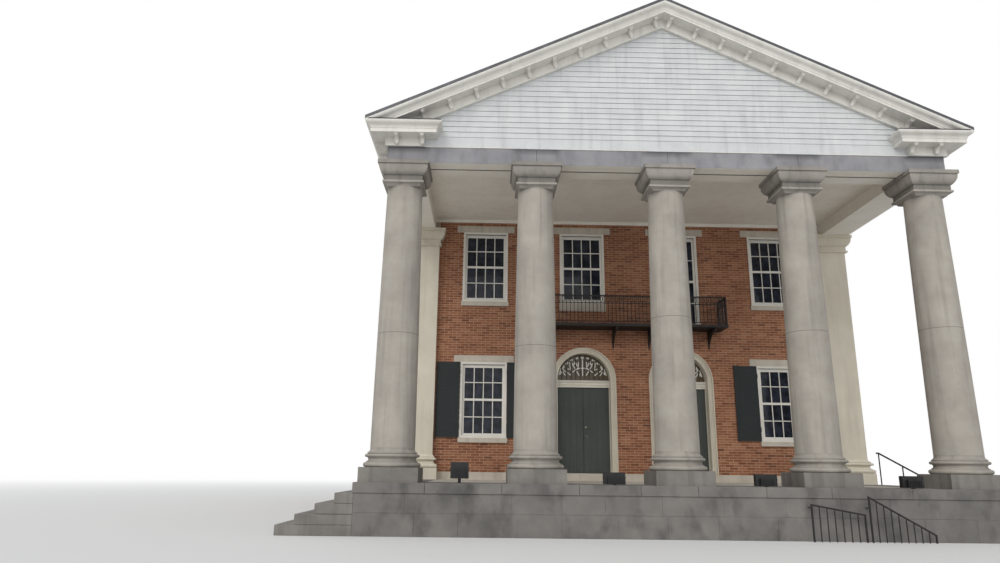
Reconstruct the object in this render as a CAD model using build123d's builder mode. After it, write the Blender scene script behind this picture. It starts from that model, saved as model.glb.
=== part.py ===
from build123d import *
from math import cos, radians, sin, tan
import os

os.makedirs("parts", exist_ok=True)

# Temple-front bank building. Millimetres, +Z up, ground at z = 0, the street front faces -Y,
# and the origin is under the middle of the whole building.

# Columns
column_count = 5
column_spacing = 3010
plinth_width = 1206
plinth_height = 296
base_height = 390
shaft_bottom_radius = 468
shaft_top_radius = 399
shaft_swell = 8
base_edge_gap = 3
lower_torus_height = 98
base_fillet_height = 18
base_fillet_inset = 11
base_hollow_height = 85
base_hollow_inset = 53
base_throat_inset = 30
upper_torus_height = 65
upper_torus_inset = 15
base_cut_height = 10
base_cut_inset = 41
base_lip_height = 22
base_lip_inset = 29
base_flare_bow = 16
base_flare_bow_height = 27
capital_width = 1150
capital_height = 565
capital_hollow_height = 66
capital_hollow_middle = 45
capital_foot_inset = 32
capital_hollow_inset = 4
capital_fillet_height = 45
capital_fillet_proud = 64
capital_neck_height = 130
capital_neck_proud = 30
capital_swell_height = 240
capital_swell_middle = 90
capital_swell_foot = 48
capital_swell = 122
capital_lip = 30
capital_cylinder_height = 300
architrave_height = 386

# Podium and end steps
riser = 205
riser_count = 5
tread = 380
step_chamfer = 10
coping_chamfer = 12
podium_margin = 80
coping_overhang = 30
podium_wall = 600
porch_floor_thickness = 160

# Main walls
porch_depth = 4530
building_depth = 15000
wall_thickness = 420
foundation_proud = 140
door_sill_height = 200
base_course_proud = 25
floor_thickness = 150
balcony_rise = 510
upper_floor_rise = 110
attic_floor_drop = 50

# Corner pilasters
anta_width = 800
anta_proud = 180
anta_base_offset = 134
anta_capital_offset = 176

# Entablature, cornice and roof
stone_beam_depth = 340
beam_joint = 30
lintel_joint = 6
frieze_proud = 110
ceiling_thickness = 30
tympanum_thickness = 150
tympanum_setback = 30
roof_angle = 25
roof_thickness = 70
ridge_gap = 10
ridge_cap_width = 320
ridge_cap_thickness = 25
bed_offset = 60
bed_height = 200
corona_offset = 360
corona_height = 90
cyma_offset = 480
cyma_height = 160
cyma_lip = 10
cyma_bulge = 0.08
return_length = 766
rake_bed_height = 205
rake_corona_height = 50
modillion_width = 100
modillion_length = 260
modillion_drop = 180
modillion_nose = 45
modillion_pitch = 605
modillion_ridge_gap = 195
end_modillion_spots = (210, 790)
eave_beam_width = 300

# Windows
bay_inner = 1360
anta_gap = 36
window_width = 1290
window_height = 2075
lower_window_bottom = 1105
upper_window_rise = 665
lintel_to_wall_top = 220
lintel_to_frieze = 29
frame_width = 60
frame_depth = 120
frame_proud = 15
sash_stile = 62
sash_depth = 40
glazing_bar = 24
panes_across = 4
sash_setback = 45
glass_thickness = 6
sill_height = 125
sill_proud = 60
sill_overhang = 32
deep_sill_height = 230
deep_sill_overhang = 20
lintel_height = 190
lintel_overhang = 190
lintel_proud = 30
lintel_field_proud = 18
side_bay_count = 4

# Doorways
door_half_opening = 740
arch_spring = 2730
casing_width = 160
casing_proud = 25
liner_thickness = 40
liner_depth = 300
door_height = 2335
transom_depth = 100
leaf_thickness = 50
leaf_recess = 230
leaf_edge_gap = 5
leaf_meeting_gap = 8
leaf_foot_gap = 8
stop_projection = 15
stop_depth = 20
hinge_radius = 10
hinge_height = 60
hinge_gap = 0.3
hinge_inset = 11
hinge_face_gap = 1
hinge_strap_length = 260
hinge_strap_thickness = 6
hinge_plate = 6
plate_sink = 1
knob_radius = 30
knob_rose_thickness = 6
knob_neck_radius = 12
knob_neck_length = 48
knob_reach = 54
knob_height = 1234
knob_offset = 60

# Shutters of the lower front windows
shutter_thickness = 35
shutter_wall_gap = 20
shutter_end_gap = 10
shutter_meeting_gap = 12
shutter_hinge_radius = 8
shutter_hinge_inset = 10
shutter_edge_gap = 6
shutter_face_gap = 7
strap_length = 220
strap_thickness = 6

# Balcony
balcony_half_length = 2565
balcony_depth = 750
balcony_floor_thickness = 60
rail_height = 800
rail_size = 35
bar_size = 16
bar_pitch = 105
frieze_rail_drop = 210
foot_rail_rise = 70
end_panel_width = 180
bracket_drop = 425
bracket_thickness = 45
bracket_reach = 700
bracket_tip = 40
bracket_spots = (510, 2210)
bars_per_foot = 6

# Railings and lights at the podium
step_rail_height = 850
step_rail_size = 40
step_post_size = 24
step_rail_start = 60
step_rail_end = 90
step_rail_wall_gap = 140
area_rail_gap = 150
area_bar_pitch = 136
area_post_size = 28
area_tie_drop = 160
left_area_rail = (2400, 3480, 305, 495)
right_area_rail = (3560, 4850, 145, 865)
lamp_depth = 200
lamp_back_depth = 80
lamp_back_share = 0.65
lamp_stem_width = 60
lamp_setback = 150
lamp_sizes = ((-70, 360, 325, 90), (80, 440, 235, 15), (185, 440, 235, 15), (200, 440, 235, 15))

# Heights worked out from the sizes above, measured from the porch floor
floor_z = riser * riser_count
casing_half = door_half_opening + casing_width
balcony_level = arch_spring + casing_half + balcony_rise
upper_floor_level = balcony_level + upper_floor_rise
upper_window_bottom = upper_floor_level + upper_window_rise
wall_height = upper_window_bottom + window_height + lintel_height + lintel_to_wall_top
attic_floor_level = wall_height - attic_floor_drop
column_height = wall_height - architrave_height
rear_upper_window_bottom = column_height - lintel_to_frieze - lintel_height - window_height
beam_z = floor_z + column_height
wall_top = floor_z + wall_height
door_foot = floor_z + door_sill_height
door_head = door_foot + door_height
spring_z = floor_z + arch_spring

# Plan worked out from the sizes above
beam_half = shaft_top_radius - 9
column_row = column_spacing * (column_count - 1)
beam_end = column_row / 2 + beam_half
front_reach = beam_half + cyma_offset
back_reach = porch_depth + building_depth + frieze_proud + cyma_offset
column_y = (front_reach - back_reach) / 2
wall_y = column_y + porch_depth
back_y = wall_y + building_depth
front_beam_y = column_y - beam_half
back_frieze_y = back_y + frieze_proud
column_xs = [column_spacing * (i - (column_count - 1) / 2) for i in range(column_count)]
podium_half = column_row / 2 + plinth_width / 2 + podium_margin
podium_front = column_y - plinth_width / 2 - podium_margin
coping_width = plinth_width + 2 * podium_margin
wall_half_width = beam_end - frieze_proud
anta_inner = wall_half_width - anta_width
inner_half = wall_half_width - wall_thickness
foundation_half = wall_half_width + foundation_proud
brick_half_opening = door_half_opening + liner_thickness
door_xs = (-bay_inner, bay_inner)
shutter_width = window_width / 2 + shutter_hinge_inset - shutter_edge_gap - shutter_meeting_gap / 2
shutter_reach = window_width / 2 + shutter_hinge_inset + shutter_edge_gap + shutter_width
bay_outer = anta_inner - anta_gap - shutter_reach
eave_x = beam_end + cyma_offset
eave_z = wall_top + bed_height + corona_height + cyma_height
slope = tan(radians(roof_angle))
apex_z = eave_z + eave_x * slope


def roof_under(x):
    """Height of the roof's underside at a distance x from the ridge line."""
    return apex_z - abs(x) * slope


def block(x0, x1, y0, y1, z0, z1, mode=Mode.ADD):
    """A box between two corners, in the current part."""
    with Locations(((x0 + x1) / 2, (y0 + y1) / 2, (z0 + z1) / 2)):
        Box(abs(x1 - x0), abs(y1 - y0), abs(z1 - z0), mode=mode)


def save(builder, name):
    """Label a finished piece and write its STEP file."""
    builder.part.label = name
    export_step(builder.part, f"parts/{name}.step")


def wall_plane(side, along, up):
    """A plane on the outside of a wall: local x runs along it, local y is up, local z is outward."""
    if side == "front":
        return Plane(origin=(along, wall_y, up), x_dir=(1, 0, 0), z_dir=(0, -1, 0))
    if side == "back":
        return Plane(origin=(along, back_y, up), x_dir=(-1, 0, 0), z_dir=(0, 1, 0))
    if side == "left":
        return Plane(origin=(-wall_half_width, along, up), x_dir=(0, -1, 0), z_dir=(-1, 0, 0))
    return Plane(origin=(wall_half_width, along, up), x_dir=(0, 1, 0), z_dir=(1, 0, 0))


def profile_block(half_x, half_y, outline):
    """A moulded block with square corners: the same outline cut along X and along Y.

    outline(half) draws the right-hand edge of the block for one half width, as builder lines."""
    with BuildPart() as blank:
        with BuildSketch(Plane.XZ):
            with BuildLine():
                outline(half_x)
            make_face()
            mirror(about=Plane.YZ)
        extrude(amount=half_y + capital_width, both=True)
        with BuildSketch(Plane.YZ):
            with BuildLine():
                outline(half_y)
            make_face()
            mirror(about=Plane.YZ)
        extrude(amount=half_x + capital_width, both=True, mode=Mode.INTERSECT)
    return blank.part


# Podium: stone retaining walls, a coping course one riser high, and the porch paving between
wall_face_x = podium_half - coping_overhang
wall_face_y = podium_front + coping_overhang
coping_foot = floor_z - riser

with BuildPart() as podium_walls:
    block(-wall_face_x, wall_face_x, wall_face_y, wall_face_y + podium_wall, 0, coping_foot)
    for side in (-1, 1):
        block(side * wall_face_x, side * (wall_face_x - podium_wall), wall_face_y, wall_y, 0, coping_foot)
save(podium_walls, "podium_walls")

with BuildPart() as podium_coping:
    block(-podium_half, podium_half, podium_front, podium_front + coping_width, coping_foot, floor_z)
    for side in (-1, 1):
        block(side * podium_half, side * (podium_half - coping_width), podium_front, wall_y,
              coping_foot, floor_z)
    chamfer(podium_coping.faces().sort_by(Axis.Z)[-1].outer_wire().edges().sort_by(Axis.Y)[0], coping_chamfer)
save(podium_coping, "podium_coping")

with BuildPart() as porch_floor:
    block(coping_width - podium_half, podium_half - coping_width, podium_front + coping_width, wall_y,
          floor_z - porch_floor_thickness, floor_z)
save(porch_floor, "porch_floor")

# End steps: one long stone to each step, stacked against both ends of the podium
for number, name in enumerate(("lowest_steps", "second_steps", "third_steps", "top_steps"), start=1):
    top = riser * number
    foot_x = wall_face_x + tread * (riser_count - number)
    with BuildPart() as steps:
        for side in (-1, 1):
            block(side * wall_face_x, side * foot_x, wall_face_y, wall_y, top - riser, top)
        nosings = steps.edges().filter_by(Axis.Y).group_by(Axis.Z)[-1].sort_by(Axis.X)
        chamfer([nosings[0], nosings[-1]], step_chamfer)
    save(steps, name)

# Iron handrail of the right-hand steps, beside the wall
rail_y = wall_y - step_rail_wall_gap - step_rail_size / 2
rail_top_x = podium_half - 2 * step_rail_size
rail_low_x = wall_face_x + tread * (riser_count - 1.5)
rail_top_z = floor_z + step_rail_height
rail_low_z = rail_top_z - (rail_low_x - rail_top_x) * riser / tread
step_posts = ((rail_top_x, floor_z), (wall_face_x + tread * 1.5, riser * 3), (rail_low_x, riser))
with BuildPart() as step_handrail:
    for post_x, post_foot in step_posts:
        post_top = rail_top_z - (post_x - rail_top_x) * riser / tread
        block(post_x - step_post_size / 2, post_x + step_post_size / 2,
              rail_y - step_post_size / 2, rail_y + step_post_size / 2, post_foot, post_top)
    with BuildSketch(Plane.XZ.offset(-rail_y - step_rail_size / 2)):
        with BuildLine():
            Polyline((rail_top_x - step_rail_start, rail_top_z), (rail_top_x, rail_top_z),
                     (rail_low_x, rail_low_z), (rail_low_x + step_rail_end, rail_low_z),
                     (rail_low_x + step_rail_end, rail_low_z - step_rail_size),
                     (rail_low_x, rail_low_z - step_rail_size), (rail_top_x, rail_top_z - step_rail_size),
                     (rail_top_x - step_rail_start, rail_top_z - step_rail_size), close=True)
        make_face()
    extrude(amount=step_rail_size)
save(step_handrail, "step_handrail")

# Columns: square plinth, moulded round base, tapered shaft with a slight swell, square capital
plinth_top = floor_z + plinth_height
shaft_foot = plinth_top + base_height
shaft_head = beam_z - capital_height

with BuildPart() as column_plinths:
    for x in column_xs:
        block(x - plinth_width / 2, x + plinth_width / 2, column_y - plinth_width / 2,
              column_y + plinth_width / 2, floor_z, plinth_top)
save(column_plinths, "column_plinths")

torus_radius = lower_torus_height / 2
lower_torus = plinth_width / 2 - base_edge_gap - torus_radius


def base_outline(inner, reach):
    """Edge of a moulded base, from its foot up: torus, fillet, hollow, upper torus, lip and flare."""
    fillet = reach - base_fillet_inset
    throat = reach - base_throat_inset
    bead = reach - upper_torus_inset
    cut = reach - base_cut_inset
    lip = reach - base_lip_inset
    shaft = reach - lower_torus + shaft_bottom_radius
    fillet_top = lower_torus_height + base_fillet_height
    hollow_top = fillet_top + base_hollow_height
    bead_top = hollow_top + upper_torus_height
    cut_top = bead_top + base_cut_height
    lip_top = cut_top + base_lip_height
    Line((inner, 0), (reach, 0))
    ThreePointArc((reach, 0), (reach + torus_radius, torus_radius), (reach, lower_torus_height))
    Polyline((reach, lower_torus_height), (fillet, lower_torus_height), (fillet, fillet_top))
    ThreePointArc((fillet, fillet_top), (reach - base_hollow_inset, (fillet_top + hollow_top) / 2),
                  (throat, hollow_top))
    Line((throat, hollow_top), (bead, hollow_top))
    ThreePointArc((bead, hollow_top), (bead + upper_torus_height / 2, (hollow_top + bead_top) / 2),
                  (bead, bead_top))
    Polyline((bead, bead_top), (cut, bead_top), (cut, cut_top), (lip, cut_top), (lip, lip_top))
    ThreePointArc((lip, lip_top), (shaft + base_flare_bow, lip_top + base_flare_bow_height),
                  (shaft, base_height))
    Line((shaft, base_height), (inner, base_height))
    Line((inner, base_height), (inner, 0))


with BuildPart() as round_base:
    with BuildSketch(Plane.XZ):
        with BuildLine():
            base_outline(0, lower_torus)
        make_face()
    revolve(axis=Axis.Z)
with BuildPart() as column_bases:
    with Locations([(x, column_y, plinth_top) for x in column_xs]):
        add(round_base.part)
save(column_bases, "column_bases")

shaft_height = shaft_head - shaft_foot
with BuildPart() as round_shaft:
    with BuildSketch(Plane.XZ):
        with BuildLine():
            Polyline((shaft_top_radius, shaft_height), (0, shaft_height), (0, 0), (shaft_bottom_radius, 0))
            ThreePointArc((shaft_bottom_radius, 0),
                          ((shaft_bottom_radius + shaft_top_radius) / 2 + shaft_swell, shaft_height / 2),
                          (shaft_top_radius, shaft_height))
        make_face()
    revolve(axis=Axis.Z)
with BuildPart() as column_shafts:
    with Locations([(x, column_y, shaft_foot) for x in column_xs]):
        add(round_shaft.part)
save(column_shafts, "column_shafts")


def capital_outline(half):
    """Right-hand edge of a capital, from its foot up: hollow, fillet, plain neck, round swell, top slab."""
    shaft = half - anta_capital_offset
    foot = shaft - capital_foot_inset
    hollow = shaft - capital_hollow_inset
    fillet = shaft + capital_fillet_proud
    neck = shaft + capital_neck_proud
    lip = half - capital_lip
    fillet_top = capital_hollow_height + capital_fillet_height
    neck_top = fillet_top + capital_neck_height
    swell_top = neck_top + capital_swell_height
    Line((0, 0), (foot, 0))
    ThreePointArc((foot, 0), (hollow, capital_hollow_middle), (fillet, capital_hollow_height))
    Polyline((fillet, capital_hollow_height), (fillet, fillet_top), (neck, fillet_top), (neck, neck_top),
             (shaft + capital_swell_foot, neck_top))
    ThreePointArc((shaft + capital_swell_foot, neck_top),
                  (shaft + capital_swell, neck_top + capital_swell_middle), (lip, swell_top))
    Polyline((lip, swell_top), (half, swell_top), (half, capital_height), (0, capital_height))
    Line((0, capital_height), (0, 0))


square_capital = profile_block(capital_width / 2, capital_width / 2, capital_outline)
with BuildPart() as necked_capital:
    add(square_capital)
    Cylinder(shaft_top_radius, capital_cylinder_height, align=(Align.CENTER, Align.CENTER, Align.MIN))
with BuildPart() as column_capitals:
    with Locations([(x, column_y, shaft_head) for x in column_xs]):
        add(necked_capital.part)
save(column_capitals, "column_capitals")

# Corner pilasters: the columns' base and capital carried round a square shaft at each end of the wall
anta_y0 = wall_y - anta_proud
anta_y1 = wall_y + wall_thickness
anta_half_x = anta_width / 2
anta_half_y = (anta_y1 - anta_y0) / 2
anta_mid_x = wall_half_width - anta_half_x
anta_mid_y = (anta_y0 + anta_y1) / 2


def clear_of_walls(side):
    """Cut a pilaster's mouldings back to the brick wall beside it and the side wall behind it."""
    reach = 2 * anta_capital_offset
    inner_x = side * (anta_inner - reach)
    block(side * anta_inner, inner_x, wall_y, anta_y1 + reach, floor_z, beam_z, mode=Mode.SUBTRACT)
    block(inner_x, side * (wall_half_width + reach), anta_y1, anta_y1 + reach, floor_z, beam_z,
          mode=Mode.SUBTRACT)


anta_capital = profile_block(anta_half_x + anta_capital_offset, anta_half_y + anta_capital_offset,
                             capital_outline)
anta_base = profile_block(anta_half_x + anta_base_offset, anta_half_y + anta_base_offset,
                          lambda half: base_outline(0, half - torus_radius))
with BuildPart() as antae:
    for side in (-1, 1):
        block(side * anta_inner, side * wall_half_width, anta_y0, anta_y1, floor_z, beam_z)
        block(side * (anta_inner - anta_base_offset), side * (wall_half_width + anta_base_offset),
              anta_y0 - anta_base_offset, anta_y1, floor_z, plinth_top)
        with Locations((side * anta_mid_x, anta_mid_y, plinth_top)):
            add(anta_base)
        with Locations((side * anta_mid_x, anta_mid_y, shaft_head)):
            add(anta_capital)
        clear_of_walls(side)
save(antae, "antae")

# Foundation walls under the brickwork
with BuildPart() as foundation:
    block(-foundation_half, foundation_half, wall_y, back_y + foundation_proud, 0, floor_z)
    block(-inner_half, inner_half, wall_y + wall_thickness, back_y - wall_thickness, 0, floor_z,
          mode=Mode.SUBTRACT)
save(foundation, "foundation")

# Window places, as (wall, distance along it, underside); the balcony door is the one taller opening
front_windows = [("front", x, lower_window_bottom) for x in (-bay_outer, bay_outer)]
front_windows += [("front", x, upper_window_bottom) for x in (-bay_outer, -bay_inner, bay_outer)]
side_pitch = building_depth / side_bay_count
rear_windows = []
for bottom in (lower_window_bottom, rear_upper_window_bottom):
    for i in range(side_bay_count):
        along = wall_y + side_pitch * (i + 0.5)
        rear_windows += [("left", along, bottom), ("right", along, bottom)]
    rear_windows += [("back", x, bottom) for x in (-bay_outer, -bay_inner, bay_inner, bay_outer)]
windows = front_windows + rear_windows
balcony_door_height = upper_window_bottom + window_height - upper_floor_level
balcony_door_middle = floor_z + upper_floor_level + balcony_door_height / 2
balcony_door_place = wall_plane("front", bay_inner, balcony_door_middle).location


def places(openings):
    """Where the middles of windows lie, each turned so that its local z is outward."""
    return [wall_plane(side, along, floor_z + bottom + window_height / 2).location
            for side, along, bottom in openings]


def cut_windows(openings, with_balcony_door=False):
    """Cut windows through the wall that the current part holds."""
    with Locations(places(openings)):
        Box(window_width, window_height, 3 * wall_thickness, mode=Mode.SUBTRACT)
    if with_balcony_door:
        with Locations(balcony_door_place):
            Box(window_width, balcony_door_height, 3 * wall_thickness, mode=Mode.SUBTRACT)


# Front wall, split beside and over its two doorways
wall_inside_y = wall_y + wall_thickness
with BuildPart() as front_wall_piers:
    for x0, x1 in ((-anta_inner, -bay_inner - brick_half_opening),
                   (-bay_inner + brick_half_opening, bay_inner - brick_half_opening),
                   (bay_inner + brick_half_opening, anta_inner)):
        block(x0, x1, wall_y, wall_inside_y, floor_z, spring_z)
    cut_windows(front_windows[:2])
save(front_wall_piers, "front_wall_piers")

with BuildPart() as front_wall_upper:
    block(-anta_inner, anta_inner, wall_y, wall_inside_y, spring_z, wall_top)
    block(-wall_half_width, wall_half_width, wall_y, wall_inside_y, beam_z, wall_top)
    cut_windows(front_windows, with_balcony_door=True)
    with Locations([wall_plane("front", x, spring_z).location for x in door_xs]):
        Cylinder(brick_half_opening, 3 * wall_thickness, mode=Mode.SUBTRACT)
save(front_wall_upper, "front_wall_upper")

with BuildPart() as side_walls:
    for side in (-1, 1):
        block(side * inner_half, side * wall_half_width, wall_inside_y, back_y, floor_z, wall_top)
    cut_windows([w for w in rear_windows if w[0] != "back"])
save(side_walls, "side_walls")

with BuildPart() as back_wall:
    block(-inner_half, inner_half, back_y - wall_thickness, back_y, floor_z, wall_top)
    cut_windows([w for w in rear_windows if w[0] == "back"])
save(back_wall, "back_wall")

# White base course along the foot of the front wall, and the stone sill in each doorway
with BuildPart() as base_course:
    for x0, x1 in ((-anta_inner + anta_base_offset, -bay_inner - casing_half),
                   (-bay_inner + casing_half, bay_inner - casing_half),
                   (bay_inner + casing_half, anta_inner - anta_base_offset)):
        block(x0, x1, wall_y - base_course_proud, wall_y, floor_z, door_foot)
save(base_course, "base_course")

with BuildPart() as door_sills:
    for x in door_xs:
        block(x - brick_half_opening, x + brick_half_opening, wall_y, wall_inside_y, floor_z, door_foot)
        block(x - casing_half, x + casing_half, wall_y - base_course_proud, wall_y, floor_z, door_foot)
save(door_sills, "door_sills")

# Floors of the two storeys and the attic, between the walls
with BuildPart() as floors:
    for level in (door_sill_height, upper_floor_level, attic_floor_level):
        block(-inner_half, inner_half, wall_inside_y, back_y - wall_thickness,
              floor_z + level - floor_thickness, floor_z + level)
save(floors, "floors")


# Window frames, sashes and glass: one of each is made, then set in every opening
def make_frame(height):
    """A plain frame standing slightly proud of the wall."""
    with BuildPart() as frame:
        with BuildSketch(Plane.XY.offset(frame_proud - frame_depth)):
            Rectangle(window_width, height)
            Rectangle(window_width - 2 * frame_width, height - 2 * frame_width, mode=Mode.SUBTRACT)
        extrude(amount=frame_depth)
    return frame.part


def make_sash(height, panes_only=False):
    """The pair of sashes of a window of this height, or only their two sheets of glass.

    Thin bars in front of the glass share each sash into two rows of panes."""
    wide = window_width - 2 * frame_width
    high = height - 2 * frame_width
    light = (high - 3 * sash_stile) / 2
    thickness = glass_thickness if panes_only else sash_depth
    with BuildPart() as sash:
        with BuildSketch(Plane.XY.offset(-sash_setback - (sash_depth + thickness) / 2)):
            if not panes_only:
                Rectangle(wide, high)
            with Locations((0, (light + sash_stile) / 2), (0, -(light + sash_stile) / 2)):
                Rectangle(wide - 2 * sash_stile, light, mode=Mode.ADD if panes_only else Mode.SUBTRACT)
        extrude(amount=thickness)
        if not panes_only:
            bar_depth = (sash_depth - glass_thickness) / 2
            pane_pitch = (wide - 2 * sash_stile) / panes_across
            with BuildSketch(Plane.XY.offset(-sash_setback - bar_depth)) as bars:
                with Locations([(pane_pitch * (i - panes_across / 2), 0) for i in range(1, panes_across)]):
                    Rectangle(glazing_bar, high - 2 * sash_stile)
                with Locations((0, (light + sash_stile) / 2), (0, -(light + sash_stile) / 2)):
                    Rectangle(wide - 2 * sash_stile, glazing_bar)
            extrude(bars.sketch, amount=bar_depth)
    return sash.part


for name, maker in (("window_frames", make_frame), ("window_sashes", make_sash),
                    ("window_glass", lambda height: make_sash(height, panes_only=True))):
    with BuildPart() as fitted:
        with Locations(places(windows)):
            add(maker(window_height))
        with Locations(balcony_door_place):
            add(maker(balcony_door_height))
    save(fitted, name)

# Stone sills, with a deeper and plainer one under the window onto the balcony
balcony_window = ("front", -bay_inner, upper_window_bottom)
sill_drop = (window_height + sill_height) / 2
deep_sill_drop = (window_height + deep_sill_height) / 2
plain_places = places([window for window in windows if window != balcony_window])
with BuildPart() as window_sills:
    with Locations([place * Location((0, -sill_drop, sill_proud / 2)) for place in plain_places]):
        Box(window_width + 2 * sill_overhang, sill_height, sill_proud)
    with Locations(places([balcony_window])[0] * Location((0, -deep_sill_drop, sill_proud / 4))):
        Box(window_width + 2 * deep_sill_overhang, deep_sill_height, sill_proud / 2)
save(window_sills, "window_sills")

# Stone lintels, each with a square block at both ends

lintel_length = window_width + 2 * lintel_overhang
with BuildPart() as lintel:
    with BuildSketch():
        Rectangle(lintel_length, lintel_height)
    extrude(amount=lintel_field_proud)
    with BuildSketch():
        with Locations((-(lintel_length - lintel_height) / 2, 0), ((lintel_length - lintel_height) / 2, 0)):
            Rectangle(lintel_height, lintel_height)
    extrude(amount=lintel_proud)
with BuildPart() as window_lintels:
    lintel_rise = (window_height + lintel_height) / 2
    with Locations([place * Location((0, lintel_rise, 0)) for place in places(windows)]):
        add(lintel.part)
    with Locations(balcony_door_place * Location((0, (balcony_door_height + lintel_height) / 2, 0))):
        add(lintel.part)
save(window_lintels, "window_lintels")


# Arched door casings, fanlights and transoms
def arch_shape(half, foot_z, mode=Mode.ADD):
    """A doorway's outline, round-headed, drawn from the spring line of the arch."""
    with Locations((0, (foot_z - spring_z) / 2)):
        Rectangle(2 * half, spring_z - foot_z, mode=mode)
    Circle(half, mode=mode)


leaf_y = wall_y + leaf_recess
hinge_y = leaf_y + leaf_thickness + hinge_radius + hinge_face_gap
hinge_zs = [door_foot + door_height * share for share in (0.12, 0.5, 0.85)]


def barrels(x, y, radius, heights):
    """Upright hinge barrels, one above another."""
    with Locations([(x, y, z) for z in heights]):
        Cylinder(radius, hinge_height, align=(Align.CENTER, Align.CENTER, Align.MIN))


with BuildPart() as door_surrounds:
    for x in door_xs:
        spring = wall_plane("front", x, spring_z)
        with BuildSketch(spring):
            arch_shape(casing_half, door_foot)
            arch_shape(door_half_opening, door_foot, Mode.SUBTRACT)
        extrude(amount=casing_proud)
        with BuildSketch(spring):
            arch_shape(brick_half_opening, door_foot)
            arch_shape(door_half_opening, door_foot, Mode.SUBTRACT)
        extrude(amount=-liner_depth)
        block(x - door_half_opening, x + door_half_opening, wall_y + liner_depth - transom_depth,
              wall_y + liner_depth, door_head, spring_z)
        for side in (-1, 1):
            jamb_x = x + side * door_half_opening
            stop_y = leaf_y - leaf_edge_gap
            pivot_x = jamb_x - side * hinge_inset
            block(jamb_x, jamb_x - side * stop_projection, stop_y - stop_depth, stop_y, door_foot, door_head)
            for z in hinge_zs:
                block(jamb_x, pivot_x, hinge_y - hinge_plate / 2, hinge_y + hinge_plate / 2,
                      z, z + hinge_height)
            barrels(pivot_x, hinge_y, hinge_radius, hinge_zs)
save(door_surrounds, "door_surrounds")

with BuildPart() as fanlights:
    for x in door_xs:
        with BuildSketch(wall_plane("front", x, spring_z).offset(-liner_depth + transom_depth / 2)):
            Circle(door_half_opening)
            with Locations((0, -door_half_opening)):
                Rectangle(2 * door_half_opening, 2 * door_half_opening, mode=Mode.SUBTRACT)
        extrude(amount=glass_thickness)
save(fanlights, "fanlights")

# Door leaves: two to each doorway, hung on the jambs and opening inwards; the right-hand one has the knob
leaf_width = door_half_opening - leaf_edge_gap - leaf_meeting_gap / 2
leaf_top = door_head - leaf_edge_gap
leaf_foot = door_foot + leaf_foot_gap
with BuildPart() as knob:
    Cylinder(knob_radius, knob_rose_thickness, align=(Align.CENTER, Align.CENTER, Align.MIN))
    Cylinder(knob_neck_radius, knob_neck_length, align=(Align.CENTER, Align.CENTER, Align.MIN))
    with Locations((0, 0, knob_reach)):
        Sphere(knob_radius)
for name, x in zip(("left", "right"), door_xs):
    for hand, side in (("left", -1), ("right", 1)):
        edge_x = x + side * (door_half_opening - leaf_edge_gap)
        pivot_x = x + side * (door_half_opening - hinge_inset)
        with BuildPart() as leaf:
            block(edge_x, edge_x - side * leaf_width, leaf_y, leaf_y + leaf_thickness, leaf_foot, leaf_top)
            barrel_zs = [z + hinge_height + hinge_gap for z in hinge_zs]
            barrels(pivot_x, hinge_y, hinge_radius, barrel_zs)
            for z in barrel_zs:
                block(pivot_x, pivot_x - side * hinge_strap_length, leaf_y + leaf_thickness - plate_sink,
                      leaf_y + leaf_thickness + hinge_strap_thickness, z, z + hinge_height)
            if side > 0:
                knob_spot = (x + knob_offset, leaf_y, door_foot + knob_height)
                with Locations(Plane(knob_spot, z_dir=(0, -1, 0)).location):
                    add(knob.part)
        save(leaf, f"{name}_door_{hand}_leaf")

# Shutters of the lower front windows, stored open against the wall, and their pintles
shutter_foot = floor_z + lower_window_bottom + shutter_end_gap
shutter_top = floor_z + lower_window_bottom + window_height - shutter_end_gap
shutter_pivot_y = wall_y - shutter_wall_gap - shutter_thickness - shutter_face_gap
shutter_hinge_zs = [shutter_foot + (shutter_top - shutter_foot) * share for share in (0.12, 0.84)]
with BuildPart() as shutter_pintles:
    for x in (-bay_outer, bay_outer):
        for side in (-1, 1):
            pivot_x = x + side * (window_width / 2 + shutter_hinge_inset)
            for z in shutter_hinge_zs:
                block(pivot_x - hinge_plate / 2, pivot_x + hinge_plate / 2, shutter_pivot_y, wall_y, z,
                      z + hinge_height)
            barrels(pivot_x, shutter_pivot_y, shutter_hinge_radius, shutter_hinge_zs)
save(shutter_pintles, "shutter_pintles")

face_y = shutter_pivot_y + shutter_face_gap
for name, x in (("left", -bay_outer), ("right", bay_outer)):
    for hand, side in (("left", -1), ("right", 1)):
        pivot_x = x + side * (window_width / 2 + shutter_hinge_inset)
        with BuildPart() as shutter:
            block(pivot_x + side * shutter_edge_gap, pivot_x + side * (shutter_edge_gap + shutter_width),
                  face_y, face_y + shutter_thickness, shutter_foot, shutter_top)
            barrel_zs = [z + hinge_height + hinge_gap for z in shutter_hinge_zs]
            barrels(pivot_x, shutter_pivot_y, shutter_hinge_radius, barrel_zs)
            for z in barrel_zs:
                block(pivot_x, pivot_x + side * strap_length, face_y - strap_thickness, face_y + plate_sink,
                      z, z + hinge_height)
        save(shutter, f"{name}_window_{hand}_shutter")

# Iron balcony over the doorways
balcony_foot = floor_z + balcony_level
balcony_top = balcony_foot + balcony_floor_thickness
balcony_front = wall_y - balcony_depth
with BuildPart() as balcony_floor:
    block(-balcony_half_length, balcony_half_length, balcony_front, wall_y, balcony_foot, balcony_top)
save(balcony_floor, "balcony_floor")

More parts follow.
